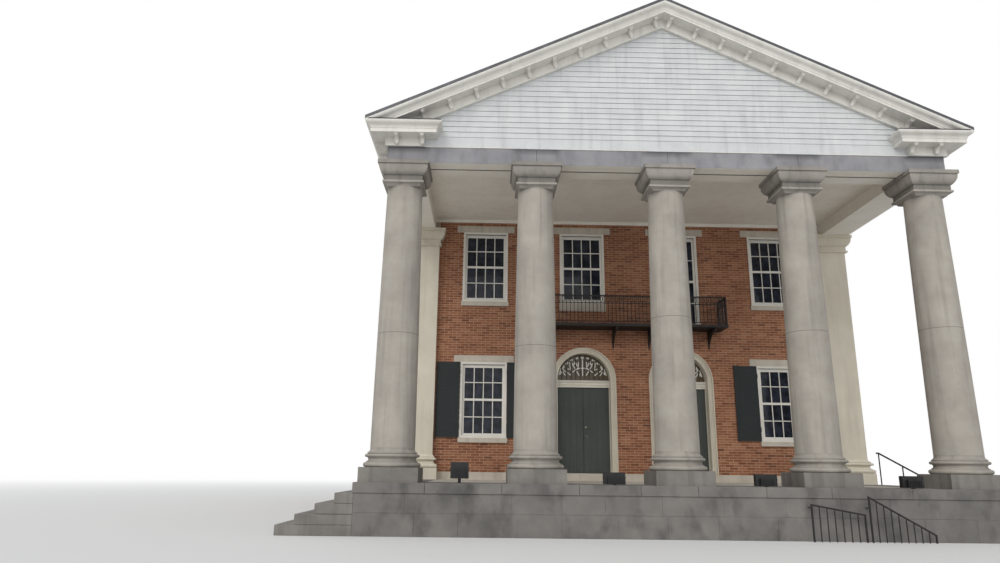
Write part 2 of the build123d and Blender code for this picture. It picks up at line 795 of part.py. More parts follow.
tip_y = wall_y - bracket_reach
with BuildPart() as balcony_brackets:
    for spot in bracket_spots:
        for x in (-spot, spot):
            with BuildSketch(Plane.YZ.offset(x - bracket_thickness / 2)):
                with BuildLine():
                    Polyline((tip_y, balcony_foot), (wall_y, balcony_foot),
                             (wall_y, balcony_foot - bracket_drop))
                    ThreePointArc((wall_y, balcony_foot - bracket_drop),
                                  (wall_y - bracket_reach * 0.4, balcony_foot - bracket_drop * 0.42),
                                  (tip_y, balcony_foot - bracket_tip))
                    Line((tip_y, balcony_foot - bracket_tip), (tip_y, balcony_foot))
                make_face()
            extrude(amount=bracket_thickness)
save(balcony_brackets, "balcony_brackets")


def rail_panel(plane, length, end_panels):
    """An iron railing panel: three rails, end posts and thin bars, standing on the local x axis."""
    half = length / 2
    for up, size in ((rail_height, rail_size), (rail_height - frieze_rail_drop, bar_size * 1.4),
                     (foot_rail_rise, bar_size * 1.4)):
        with BuildSketch(plane.offset(-size / 2)) as rail:
            with Locations((0, up - size / 2)):
                Rectangle(length, size)
        extrude(rail.sketch, amount=size)
    bar_count = int(length / bar_pitch)
    step = (length - rail_size) / bar_count
    for i in range(bar_count + 1):
        x = -half + rail_size / 2 + i * step
        is_post = i in (0, bar_count)
        size = rail_size if is_post else bar_size
        foot = 0 if is_post or i % bars_per_foot == 0 else foot_rail_rise - bar_size
        with BuildSketch(plane.offset(-size / 2)) as bar:
            with Locations((x, (foot + rail_height - rail_size / 2) / 2)):
                Rectangle(size, rail_height - rail_size / 2 - foot)
        extrude(bar.sketch, amount=size)
    for side in end_panels:
        with BuildSketch(plane.offset(-bar_size / 2)) as stile:
            with Locations((side * (half - end_panel_width), rail_height / 2)):
                Rectangle(bar_size, rail_height)
        extrude(stile.sketch, amount=bar_size)


rail_line = balcony_front + rail_size
with BuildPart() as balcony_front_rail:
    rail_panel(Plane(origin=(0, rail_line, balcony_top), x_dir=(1, 0, 0), z_dir=(0, -1, 0)),
               2 * (balcony_half_length - rail_size / 2), (-1, 1))
save(balcony_front_rail, "balcony_front_rail")

with BuildPart() as balcony_end_rails:
    end_length = wall_y - rail_line - rail_size / 2
    for side in (-1, 1):
        middle = (side * (balcony_half_length - rail_size), wall_y - end_length / 2, balcony_top)
        rail_panel(Plane(origin=middle, x_dir=(0, 1, 0), z_dir=(1, 0, 0)), end_length, ())
save(balcony_end_rails, "balcony_end_rails")

# Entablature: a stone beam over the columns, jointed over each, and timber beams behind and beside it
stone_back = front_beam_y + stone_beam_depth
with BuildPart() as front_architrave:
    joints = [-beam_end] + column_xs[1:-1] + [beam_end]
    for x0, x1 in zip(joints, joints[1:]):
        left_gap = 0 if x0 == -beam_end else lintel_joint / 2
        right_gap = 0 if x1 == beam_end else lintel_joint / 2
        block(x0 + left_gap, x1 - right_gap, front_beam_y, stone_back, beam_z, wall_top)
save(front_architrave, "front_architrave")

beam_back = column_y + beam_half
with BuildPart() as timber_beams:
    block(-beam_end, beam_end, stone_back + beam_joint, beam_back, beam_z, wall_top)
    for side in (-1, 1):
        block(side * beam_end, side * (beam_end - 2 * beam_half), beam_back, wall_y, beam_z, wall_top)
save(timber_beams, "timber_beams")

with BuildPart() as frieze_boards:
    block(-beam_end, beam_end, back_y, back_frieze_y, beam_z, wall_top)
    for side in (-1, 1):
        block(side * wall_half_width, side * beam_end, wall_y, back_frieze_y, beam_z, wall_top)
save(frieze_boards, "frieze_boards")

with BuildPart() as porch_ceiling:
    block(2 * beam_half - beam_end, beam_end - 2 * beam_half, beam_back, wall_y,
          wall_top - ceiling_thickness, wall_top)
save(porch_ceiling, "porch_ceiling")

# Gable walls under the roof, front and back
gable_faces = {"front": front_beam_y + tympanum_setback, "back": back_frieze_y - tympanum_setback}
front_gable_back = gable_faces["front"] + tympanum_thickness
back_gable_back = gable_faces["back"] - tympanum_thickness
with BuildPart() as tympanums:
    for y0 in (gable_faces["front"], back_gable_back):
        with BuildSketch(Plane.XZ.offset(-y0)):
            with BuildLine():
                Polyline((-beam_end, wall_top), (beam_end, wall_top), (beam_end, roof_under(beam_end)),
                         (0, apex_z), (-beam_end, roof_under(beam_end)), close=True)
            make_face()
        extrude(amount=-tympanum_thickness)
save(tympanums, "tympanums")

# Eaves: a timber beam along each side wall, and the cornice outside it
with BuildPart() as eave_beams:
    inner_x = beam_end - eave_beam_width
    for side in (-1, 1):
        with BuildSketch(Plane.XZ.offset(-front_gable_back)):
            with BuildLine():
                Polyline((side * beam_end, wall_top), (side * inner_x, wall_top),
                         (side * inner_x, roof_under(inner_x)),
                         (side * beam_end, roof_under(beam_end)), close=True)
            make_face()
        extrude(amount=-(back_gable_back - front_gable_back))
save(eave_beams, "eave_beams")

bed_top = wall_top + bed_height
corona_top = bed_top + corona_height
cyma_foot_offset = corona_offset + cyma_lip


def cyma_arcs(start, end):
    """An S-shaped crown moulding between two points, hollow below and round above."""
    middle = ((start[0] + end[0]) / 2, (start[1] + end[1]) / 2)
    bulge_x = (end[0] - start[0]) * cyma_bulge
    bulge_y = (end[1] - start[1]) * cyma_bulge
    ThreePointArc(start, ((start[0] + middle[0]) / 2 - bulge_x, (start[1] + middle[1]) / 2 + bulge_y), middle)
    ThreePointArc(middle, ((middle[0] + end[0]) / 2 + bulge_x, (middle[1] + end[1]) / 2 - bulge_y), end)


with BuildPart() as eave_cornices:
    for side in (-1, 1):
        base_x = beam_end
        with BuildSketch(Plane.XZ.offset(-gable_faces["front"])):
            with BuildLine():
                Polyline((side * base_x, roof_under(base_x)), (side * base_x, wall_top),
                         (side * (base_x + bed_offset), wall_top), (side * (base_x + bed_offset), bed_top),
                         (side * (base_x + corona_offset), bed_top),
                         (side * (base_x + corona_offset), corona_top),
                         (side * (base_x + cyma_foot_offset), corona_top))
                cyma_arcs((side * (base_x + cyma_foot_offset), corona_top), (side * eave_x, eave_z))
                Line((side * eave_x, eave_z), (side * base_x, roof_under(base_x)))
            make_face()
        extrude(amount=-(gable_faces["back"] - gable_faces["front"]))
save(eave_cornices, "eave_cornices")


def return_outline(half):
    """Right-hand edge of a cornice return, widening from its bed moulding to its crown."""
    foot = half - cyma_offset
    Polyline((0, eave_z), (0, wall_top), (foot + bed_offset, wall_top), (foot + bed_offset, bed_top),
             (foot + corona_offset, bed_top), (foot + corona_offset, corona_top),
             (foot + cyma_foot_offset, corona_top))
    cyma_arcs((foot + cyma_foot_offset, corona_top), (half, eave_z))
    Line((half, eave_z), (0, eave_z))


return_half = return_length / 2 + cyma_offset
return_depth = cyma_offset + tympanum_setback
return_block = profile_block(return_half, return_depth, return_outline)
with BuildPart() as front_half_return:
    add(return_block)
    split(bisect_by=Plane.XZ, keep=Keep.TOP)
with BuildPart() as back_half_return:
    add(return_block)
    split(bisect_by=Plane.XZ, keep=Keep.BOTTOM)
return_x = beam_end - return_length / 2
with BuildPart() as cornice_returns:
    with Locations((-return_x, gable_faces["front"], 0), (return_x, gable_faces["front"], 0)):
        add(front_half_return.part)
    with Locations((-return_x, gable_faces["back"], 0), (return_x, gable_faces["back"], 0)):
        add(back_half_return.part)
save(cornice_returns, "cornice_returns")

# Raking cornices along both gables
slope_length = eave_x / cos(radians(roof_angle))
rake_soffit = cyma_height + rake_corona_height
rake_depth = rake_bed_height + rake_soffit


def rake_plane(side, y):
    """A plane across the slope at the eave: local x points to +Y, local y is square to the roof."""
    along = (-side * cos(radians(roof_angle)), 0, sin(radians(roof_angle)))
    return Plane(origin=(side * eave_x, y, eave_z), x_dir=(0, -side, 0), z_dir=along)


def half_rake(side, face_y, out):
    """The raking cornice of one slope of one gable, cut plumb at the ridge and level at the eave."""
    u = -side * out
    reach = return_depth
    corona_foot = -rake_soffit
    with BuildPart() as half:
        with BuildSketch(rake_plane(side, face_y)):
            with BuildLine():
                Polyline((u * reach, 0), (0, 0), (0, -rake_depth),
                         (u * (bed_offset + tympanum_setback), -rake_depth),
                         (u * (bed_offset + tympanum_setback), corona_foot),
                         (u * (corona_offset + tympanum_setback), corona_foot),
                         (u * (corona_offset + tympanum_setback), -cyma_height),
                         (u * (cyma_foot_offset + tympanum_setback), -cyma_height))
                cyma_arcs((u * (cyma_foot_offset + tympanum_setback), -cyma_height), (u * reach, 0))
            make_face()
        extrude(amount=slope_length)
        split(bisect_by=Plane.YZ, keep=Keep.BOTTOM if side < 0 else Keep.TOP)
        split(bisect_by=Plane.XY.offset(eave_z), keep=Keep.TOP)
    return half.part


with BuildPart() as raking_cornices:
    for face_y, out in ((gable_faces["front"], -1), (gable_faces["back"], 1)):
        for side in (-1, 1):
            add(half_rake(side, face_y, out))
save(raking_cornices, "raking_cornices")

# Modillions: drooping brackets under the corona of the rakes, the eaves and the returns


def bracket(plane, out):
    """One modillion against the origin, reaching out along the plane's x: deep at the back, thin in front."""
    with BuildPart() as made:
        with BuildSketch(plane.offset(-modillion_width / 2)) as side_view:
            with BuildLine():
                reach = out * modillion_length
                Polyline((0, 0), (reach, 0), (reach, -modillion_nose),
                         (reach * 0.4, -modillion_nose * 1.4), (reach * 0.2, -modillion_drop),
                         (0, -modillion_drop), close=True)
            make_face()
        extrude(side_view.sketch, amount=modillion_width)
    return made.part


rake_count = int((eave_x - 2 * corona_offset - modillion_ridge_gap) / modillion_pitch) + 1
run_length = back_frieze_y - front_beam_y
eave_count = int(run_length / modillion_pitch)
eave_pitch = run_length / eave_count
with BuildPart() as modillions:
    for side in (-1, 1):
        for face_y, out in ((gable_faces["front"], -1), (gable_faces["back"], 1)):
            rake = rake_plane(side, face_y)
            spots = []
            for i in range(rake_count):
                along = (eave_x - modillion_ridge_gap - modillion_pitch * i) / cos(radians(roof_angle))
                foot = Location((-side * out * (bed_offset + tympanum_setback), -rake_soffit, along))
                spots.append((rake.location * foot).position)
            with Locations(spots):
                add(bracket(Plane(origin=(0, 0, 0), x_dir=rake.x_dir, z_dir=rake.z_dir), -side * out))
        with Locations([(side * (beam_end + bed_offset), front_beam_y + eave_pitch * (i + 0.5), bed_top)
                        for i in range(eave_count)]):
            add(bracket(Plane.XZ, side))
    for face_y, out in ((front_beam_y, -1), (back_frieze_y, 1)):
        with Locations([(side * (beam_end - inset), face_y + out * bed_offset, bed_top)
                        for side in (-1, 1) for inset in end_modillion_spots]):
            add(bracket(Plane.YZ, out))
save(modillions, "modillions")

# Roof slopes and ridge cap
roof_rise = roof_thickness / cos(radians(roof_angle))
roof_front = column_y - front_reach
roof_back = back_frieze_y + cyma_offset
with BuildPart() as roof_slopes:
    for side in (-1, 1):
        gap = side * ridge_gap / 2
        with BuildSketch(Plane.XZ.offset(-roof_front)):
            with BuildLine():
                Polyline((side * eave_x, eave_z), (gap, roof_under(gap)), (gap, roof_under(gap) + roof_rise),
                         (side * eave_x, eave_z + roof_rise), close=True)
            make_face()
        extrude(amount=-(roof_back - roof_front))
save(roof_slopes, "roof_slopes")

with BuildPart() as roof_ridge:
    cap_half = ridge_cap_width / 2
    cap_foot = apex_z + roof_rise
    cap_edge = cap_foot - cap_half * slope
    with BuildSketch(Plane.XZ.offset(-roof_front)):
        with BuildLine():
            Polyline((-cap_half, cap_edge), (0, cap_foot), (cap_half, cap_edge),
                     (cap_half, cap_edge + ridge_cap_thickness), (0, cap_foot + ridge_cap_thickness),
                     (-cap_half, cap_edge + ridge_cap_thickness), close=True)
        make_face()
    extrude(amount=-(roof_back - roof_front))
save(roof_ridge, "roof_ridge")

# Floodlights on the podium, one to each bay: a wide hood with a smaller housing behind it, on a stem
lamp_y = podium_front + lamp_setback
hood_y = lamp_y + lamp_back_depth
with BuildPart() as floodlights:
    for x0, x1, (shift, width, height, stem) in zip(column_xs, column_xs[1:], lamp_sizes):
        x = (x0 + x1) / 2 + shift
        foot = floor_z + stem
        block(x - width / 2, x + width / 2, hood_y, lamp_y + lamp_depth, foot, foot + height)
        half_back = width * lamp_back_share / 2
        block(x - half_back, x + half_back, lamp_y, hood_y, foot, foot + height * lamp_back_share)
        block(x - lamp_stem_width / 2, x + lamp_stem_width / 2, hood_y, hood_y + lamp_stem_width,
              floor_z, foot)
save(floodlights, "floodlights")

# Two iron railings in front of the podium, each falling to the right and tied back to its wall
area_rail_y = wall_face_y - area_rail_gap
tie_z = coping_foot - area_tie_drop
with BuildPart() as area_railings:
    for x0, x1, start_drop, end_drop in (left_area_rail, right_area_rail):
        high = floor_z - start_drop
        low = floor_z - end_drop
        with BuildSketch(Plane.XZ.offset(-area_rail_y - rail_size / 2)):
            with BuildLine():
                Polyline((x0, high), (x1, low), (x1, low - rail_size), (x0, high - rail_size), close=True)
            make_face()
        extrude(amount=rail_size)
        bars = int((x1 - x0) / area_bar_pitch)
        for i in range(bars + 1):
            size = area_post_size if i in (0, bars) else bar_size
            x = x0 + size / 2 + (x1 - x0 - size) * i / bars
            top = high + (low - high) * (x - x0) / (x1 - x0) - rail_size / 2
            block(x - size / 2, x + size / 2, area_rail_y - size / 2, area_rail_y + size / 2, 0, top)
        block(x0, x0 + area_post_size, area_rail_y, wall_face_y, tie_z - bar_size, tie_z)
save(area_railings, "area_railings")
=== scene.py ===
# %% [markdown]
# # A bank building with a temple front
# The building is shown as it stands after long use: brick walls on a stone foundation, five stone
# columns on a podium with steps at both ends, and a timber gable over a stone beam. The measured
# model comes in as the frame, and everything below is fitted round it in metres.

import bmesh
import bpy
import math
import random
from mathutils import Matrix, Vector


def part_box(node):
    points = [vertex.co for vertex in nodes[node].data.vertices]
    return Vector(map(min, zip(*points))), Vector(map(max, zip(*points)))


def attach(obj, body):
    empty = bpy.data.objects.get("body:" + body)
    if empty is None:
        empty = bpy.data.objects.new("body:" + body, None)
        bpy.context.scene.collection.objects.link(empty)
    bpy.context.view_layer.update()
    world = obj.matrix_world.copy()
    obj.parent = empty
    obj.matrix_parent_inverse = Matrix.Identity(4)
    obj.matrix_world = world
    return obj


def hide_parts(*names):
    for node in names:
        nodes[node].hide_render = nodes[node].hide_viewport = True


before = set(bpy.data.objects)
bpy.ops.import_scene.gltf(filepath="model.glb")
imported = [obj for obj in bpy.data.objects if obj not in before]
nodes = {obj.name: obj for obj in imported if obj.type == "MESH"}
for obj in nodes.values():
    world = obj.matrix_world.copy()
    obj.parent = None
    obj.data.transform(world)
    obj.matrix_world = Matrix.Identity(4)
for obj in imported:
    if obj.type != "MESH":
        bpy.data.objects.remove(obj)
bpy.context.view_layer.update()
FREE = "building"

# %% [markdown]
# ## Camera, light and floor
# The view is the one from the pavement left of the porch: low, tilted up and turned by one degree.
# Soft light from a pale sky and one broad lamp keep every colour close to what is written.


# %% Small helpers
def node(tree, kind, inputs=None, **settings):
    """Adds a node to a tree, sets its options, and links or sets its inputs by name or number."""
    made = tree.nodes.new(kind)
    for key, value in settings.items():
        setattr(made, key, value)
    for key, value in (inputs or {}).items():
        if isinstance(value, bpy.types.NodeSocket):
            tree.links.new(value, made.inputs[key])
        else:
            made.inputs[key].default_value = value
    return made


def maths(tree, operation, *values):
    """One step of arithmetic on numbers or links."""
    return node(tree, "ShaderNodeMath", dict(enumerate(values)), operation=operation).outputs[0]


def times(tree, first, second):
    """Multiplies two values."""
    return maths(tree, "MULTIPLY", first, second)


def linked(name, data):
    """An object with this data in the scene."""
    made = bpy.data.objects.new(name, data)
    bpy.context.scene.collection.objects.link(made)
    return made


def about(middle, wide):
    """The two limits of something this wide about its middle."""
    return middle - wide / 2, middle + wide / 2


def rectangle(x, z):
    """The four corners between two pairs of limits."""
    return [(x[0], z[0]), (x[1], z[0]), (x[1], z[1]), (x[0], z[1])]


def plain_material(name, colour, roughness=0.8, metallic=0.0):
    """A material with one Principled surface."""
    made = bpy.data.materials.new(name)
    made.use_nodes = True
    surface = made.node_tree.nodes["Principled BSDF"].inputs
    surface["Base Color"].default_value = (*colour, 1)
    surface["Roughness"].default_value = roughness
    surface["Metallic"].default_value = metallic
    return made


def seen_directly(tree):
    """One for rays of the camera, straight or by way of glass and polish, else nothing."""
    rays = node(tree, "ShaderNodeLightPath").outputs
    seen = maths(tree, "MAXIMUM", rays["Is Camera Ray"], rays["Is Transmission Ray"])
    return maths(tree, "MAXIMUM", seen, rays["Is Glossy Ray"])


print("helpers ready")

# %% Camera
plinths_low, plinths_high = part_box("column_plinths")
column_y = (plinths_low.y + plinths_high.y) / 2
tilt, roll, turn = 0.2534, 0.0127, 0.0154
eye = Vector((-4.046, column_y - 15.688, 1.314))
camera = linked("camera", bpy.data.cameras.new("camera"))
camera.data.lens, camera.data.sensor_width = 26.06, 36
camera.data.clip_start, camera.data.clip_end = 0.1, 600
camera.matrix_world = (Matrix.Translation(eye) @ Matrix.Rotation(-turn, 4, "Z")
                       @ Matrix.Rotation(math.pi / 2 + tilt, 4, "X") @ Matrix.Rotation(roll, 4, "Z"))
bpy.context.scene.camera = camera
bpy.context.scene.view_settings.view_transform = "Standard"
print("camera at", tuple(round(part, 2) for part in eye))

# %% Sky and lamps
world = bpy.data.worlds.new("sky")
bpy.context.scene.world = world
world.use_nodes = True
tree = world.node_tree
tree.nodes.clear()
sky_light = node(tree, "ShaderNodeBackground", {"Color": (0.93, 0.96, 1, 1), "Strength": 0.66}).outputs[0]
sky_seen = node(tree, "ShaderNodeBackground", {"Color": (1, 1, 1, 1), "Strength": 1}).outputs[0]
sky = node(tree, "ShaderNodeMixShader", {0: seen_directly(tree), 1: sky_light, 2: sky_seen}).outputs[0]
node(tree, "ShaderNodeOutputWorld", {"Surface": sky})

lamp_kinds = {"main lamp": (1.35, 38, (1, 0.975, 0.94), 52, -30),
              "low lamp": (0.75, 50, (1, 0.98, 0.95), 80, 12)}
for name, (energy, spread, colour, lean, heading) in lamp_kinds.items():
    lamp = linked(name, bpy.data.lights.new(name, "SUN"))
    lamp.data.energy, lamp.data.angle, lamp.data.color = energy, math.radians(spread), colour
    lamp.rotation_euler = (math.radians(lean), 0, math.radians(heading))
    lamp.visible_glossy = name == "main lamp"
print("lamps:", list(lamp_kinds))

# %% Pale floor
half_floor, fade_from, fade_to = 250, 16.0, 62.0
floor_finish = plain_material("pale floor", (0.70, 0.70, 0.69), 0.9)
tree = floor_finish.node_tree
place = node(tree, "ShaderNodeTexCoord").outputs["Object"]
away = node(tree, "ShaderNodeVectorMath", {0: place}, operation="LENGTH").outputs["Value"]
faded = node(tree, "ShaderNodeMapRange", {"Value": away, "From Min": fade_from, "From Max": fade_to},
             interpolation_type="SMOOTHSTEP").outputs[0]
white = node(tree, "ShaderNodeEmission", {"Color": (1, 1, 1, 1), "Strength": 1.0}).outputs[0]
shown = node(tree, "ShaderNodeMixShader", {0: times(tree, faded, seen_directly(tree)),
                                           1: tree.nodes["Principled BSDF"].outputs[0], 2: white}).outputs[0]
tree.links.new(shown, tree.nodes["Material Output"].inputs["Surface"])
sheet = bpy.data.meshes.new("floor_sheet")
sheet.from_pydata([(x, y, 0) for x, y in rectangle(about(0, 2 * half_floor), about(0, 2 * half_floor))], [],
                  [(0, 1, 2, 3)])
sheet.materials.append(floor_finish)
floor_sheet = linked("floor_sheet", sheet)
print("floor:", 2 * half_floor, "metres square")

# %% [markdown]
# ## Effects that several finishes share
# Old stone and paint never have one colour. Three small node groups are built once and used by every
# material: a cloudy mix of two colours, rain streaks that run down the walls, and a fine grain for
# the surface. Each reads the place in metres, so a pattern keeps its real size on every piece.


# %% Colours, masks and mixes
def shade(red, green, blue):
    """A colour written in the usual 0 to 255 steps, as the linear values that a shader reads."""
    parts = [step / 255 for step in (red, green, blue)]
    return (*[part / 12.92 if part <= 0.04045 else ((part + 0.055) / 1.055) ** 2.4 for part in parts], 1)


def shader_group(name, inputs, output, kind):
    """An empty shader node group with inputs of these starting values and one output."""
    group = bpy.data.node_groups.new(name, "ShaderNodeTree")
    kinds = {type(None): "NodeSocketVector", float: "NodeSocketFloat", tuple: "NodeSocketColor"}
    for title, value in inputs.items():
        socket = group.interface.new_socket(title, in_out="INPUT", socket_type=kinds[type(value)])
        if value is not None:
            socket.default_value = value
    group.interface.new_socket(output, in_out="OUTPUT", socket_type=kind)
    return group, node(group, "NodeGroupInput").outputs, node(group, "NodeGroupOutput").inputs[output]


def noise(tree, place, scale, detail, **more):
    """A noise pattern of this many patches per metre."""
    inputs = {"Vector": place, "Scale": scale, "Detail": detail, **more}
    return node(tree, "ShaderNodeTexNoise", inputs).outputs[0]


def ramp_of(tree, value, low, high):
    """Spreads the part of a value between low and high over the whole range 0 to 1."""
    return node(tree, "ShaderNodeMapRange", {"Value": value, "From Min": low, "From Max": high}).outputs[0]


def within(tree, value, low, high):
    """One where a value lies between two limits, else nothing."""
    return maths(tree, "COMPARE", value, (low + high) / 2, (high - low) / 2)


def mix_of(tree, amount, first, second, blend="MIX"):
    """Mixes two colours by an amount."""
    return node(tree, "ShaderNodeMix", {0: amount, 6: first, 7: second}, data_type="RGBA",
                blend_type=blend).outputs[2]


def toned(tree, value, stops):
    """The colour that stops of (share, colour) give to a value."""
    ramp = node(tree, "ShaderNodeValToRGB", {0: value})
    elements = ramp.color_ramp.elements
    for share, _ in stops[1:-1]:
        elements.new(share)
    for element, (share, colour) in zip(elements, stops):
        element.position, element.color = share, colour
    return ramp.outputs[0]


print("helpers for colour ready")

# %% Clouds, streaks and grain
clouds, inside, outside = shader_group("cloudy mix", {
    "Place": None, "Light": (1, 1, 1, 1), "Dark": (0, 0, 0, 1), "Patches per metre": 1.0},
    "Colour", "NodeSocketColor")
patches = noise(clouds, inside["Place"], inside["Patches per metre"], 5.0, Roughness=0.62)
clouds.links.new(mix_of(clouds, ramp_of(clouds, patches, 0.3, 0.72), inside["Light"], inside["Dark"]), outside)

streaks, inside, outside = shader_group("rain streaks", {
    "Place": None, "Streaks per metre": 6.0, "Length": 2.0, "Amount": 0.5}, "Mask", "NodeSocketFloat")
parts = node(streaks, "ShaderNodeSeparateXYZ", {0: inside["Place"]}).outputs
across = [times(streaks, parts[i], inside["Streaks per metre"]) for i in (0, 1)]
stretched = node(streaks, "ShaderNodeCombineXYZ", {
    0: across[0], 1: across[1], 2: maths(streaks, "DIVIDE", parts[2], inside["Length"])}).outputs[0]
lines = ramp_of(streaks, noise(streaks, stretched, 1.0, 3.0), 0.5, 0.78)
streaks.links.new(times(streaks, lines, inside["Amount"]), outside)

grain, inside, outside = shader_group("fine grain", {
    "Place": None, "Grains per metre": 60.0, "Depth": 0.3}, "Normal", "NodeSocketVector")
pits = noise(grain, inside["Place"], inside["Grains per metre"], 4.0)
grain.links.new(node(grain, "ShaderNodeBump", {"Strength": inside["Depth"], "Distance": 0.004,
                                               "Height": pits}).outputs[0], outside)
print("effects:", [group.name for group in (clouds, streaks, grain)])

# %% [markdown]
# ## Stone, paint, brick and metal
# One helper makes every weathered finish: its light and dark colour, how strongly rain has streaked it
# and how coarse its grain is. Stone is rough and streaked, paint is smoother with a little dirt.


# %% How a weathered finish is made
def place_of(tree):
    """The place on the piece in metres, as every pattern here reads it."""
    return node(tree, "ShaderNodeTexCoord").outputs["Object"]


def use_group(tree, group, **values):
    """Places a shared group in a material and sets its inputs, which are written with underscores."""
    return node(tree, "ShaderNodeGroup", {key.replace("_", " "): value for key, value in values.items()},
                node_tree=group).outputs[0]


def weathered(name, light, dark, streak=None, amount=0.5, patches=1.2, grains=60.0, depth=0.3, roughness=0.8,
              streaks_per_metre=6.0, length=2.0):
    """A stone or painted finish: cloudy colour, streaks of a third colour, and a fine grain."""
    made = plain_material(name, shade(*light)[:3], roughness)
    tree = made.node_tree
    place = place_of(tree)
    colour = use_group(tree, clouds, Place=place, Light=shade(*light), Dark=shade(*dark),
                       Patches_per_metre=patches)
    if streak:
        mask = use_group(tree, streaks, Place=place, Streaks_per_metre=streaks_per_metre, Length=length,
                         Amount=amount)
        colour = mix_of(tree, mask, colour, shade(*streak))
    surface = tree.nodes["Principled BSDF"].inputs
    tree.links.new(colour, surface["Base Color"])
    tree.links.new(use_group(tree, grain, Place=place, Grains_per_metre=grains, Depth=depth), surface["Normal"])
    return made


def metal(name, light, dark, roughness, metallic, depth=0.15):
    """A metal finish with a cloudy colour and grain."""
    made = weathered(name, light, dark, patches=5.0, grains=120.0, depth=depth, roughness=roughness)
    made.node_tree.nodes["Principled BSDF"].inputs["Metallic"].default_value = metallic
    return made


def tint(finish, amount, colour, blend="MIX"):
    """Mixes one more colour into a finish, by an amount or a mask."""
    tree = finish.node_tree
    socket = tree.nodes["Principled BSDF"].inputs["Base Color"]
    tree.links.new(mix_of(tree, amount, socket.links[0].from_socket, colour, blend), socket)


print("weathered finishes can be made")

# %% Stone
column_stone = weathered("column stone", (176, 170, 160), (150, 145, 137), (124, 119, 113), 0.55, patches=1.1,
                         grains=90.0, roughness=0.85, streaks_per_metre=7.0, length=2.4)
base_stone = weathered("column base stone", (164, 158, 148), (138, 133, 126), (104, 100, 95))
capital_stone = weathered("capital stone", (162, 156, 148), (138, 133, 127), (98, 95, 92))
plinth_stone = weathered("plinth stone", (132, 128, 122), (104, 101, 97), (74, 71, 68), 0.6)
podium_stone = weathered("podium stone", (124, 121, 117), (96, 94, 91), (62, 60, 59), 0.75,
                         streaks_per_metre=2.6, length=0.6, roughness=0.9)
paving_stone = weathered("paving stone", (196, 190, 179), (172, 166, 156), roughness=0.85)
step_stone = weathered("step stone", (134, 130, 125), (106, 103, 99), (70, 68, 66), roughness=0.9)
beam_stone = weathered("bluish beam stone", (148, 147, 150), (126, 125, 129), (90, 89, 93), 0.6,
                       streaks_per_metre=3.0, length=0.8)
lintel_stone = weathered("lintel stone", (204, 196, 182), (182, 173, 160), (132, 124, 114), 0.35)
mortar = weathered("mortar", (196, 176, 154), (172, 151, 130), (128, 112, 98), 0.25, grains=140.0)
print("stone ready")

# %% [markdown]
# ## Marks of age and of making, and painted shade
# Each column shaft is built of two drums, so a thin level joint crosses it at its own height. The
# capitals carry painted shade in the neck under their mouldings and a painted highlight on the ring
# below it, the beam is darker towards its top over each column, and the walls are plastered indoors.
# All four are masks worked out from the place on the piece.

# %% Joints of the shafts, painted shade of the capitals, darker beam tops and plaster
bay_wide, joint_levels, joint_high = 3.01, (4.12, 3.89, 4.57, 4.30, 4.42), 0.010
tree = column_stone.node_tree
parts = node(tree, "ShaderNodeSeparateXYZ", {0: place_of(tree)}).outputs
in_joint = 0.0
for bay, level in enumerate(joint_levels):
    here = times(tree, within(tree, parts[0], *about((bay - 2) * bay_wide, bay_wide)),
                 within(tree, parts[2], *about(level, joint_high)))
    in_joint = maths(tree, "MAXIMUM", here, in_joint)
tint(column_stone, 0.75, use_group(tree, clouds, Place=place_of(tree), Dark=(0.82, 0.80, 0.79, 1),
                                   Patches_per_metre=2.6), "MULTIPLY")
tint(column_stone, in_joint, shade(104, 99, 94))

capital_low, capital_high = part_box("column_capitals")
tree = capital_stone.node_tree
height = node(tree, "ShaderNodeSeparateXYZ", {0: place_of(tree)}).outputs[2]
# Painted shade and light on the capitals: darker in the neck under the mouldings, lighter on the ring.
rings = ((0, 0.9), (0.02, 0.95), (0.19, 1.05), (0.205, 0.62), (0.40, 0.56), (0.45, 0.74), (0.55, 1.0),
         (0.80, 0.92), (0.95, 0.86), (1, 0.9))
tint(capital_stone, 1.0, toned(tree, ramp_of(tree, height, capital_low.z, capital_high.z),
                               [(share, (tone, tone, tone, 1)) for share, tone in rings]), "MULTIPLY")

# The beam is made darker towards its top over each column.
darkening_half, darkening_edge, darkening_from, darkening_full = 0.62, 0.45, 8.26, 8.425
tree = beam_stone.node_tree
parts = node(tree, "ShaderNodeSeparateXYZ", {0: place_of(tree)}).outputs
from_column = maths(tree, "ABSOLUTE", maths(tree, "WRAP", parts[0], bay_wide / 2, -bay_wide / 2))
darker_over_columns = times(tree, ramp_of(tree, from_column, darkening_half, darkening_edge),
              ramp_of(tree, parts[2], darkening_from, darkening_full))
tint(beam_stone, times(tree, darker_over_columns, 0.85), shade(66, 65, 68))

room_half, room_front, room_back = 5.885, -4.680, 9.490
tree = mortar.node_tree
parts = node(tree, "ShaderNodeSeparateXYZ", {0: place_of(tree)}).outputs
tint(mortar, times(tree, within(tree, parts[0], -room_half, room_half),
                   within(tree, parts[1], room_front, room_back)), shade(222, 214, 198))
print("joints at", joint_levels)

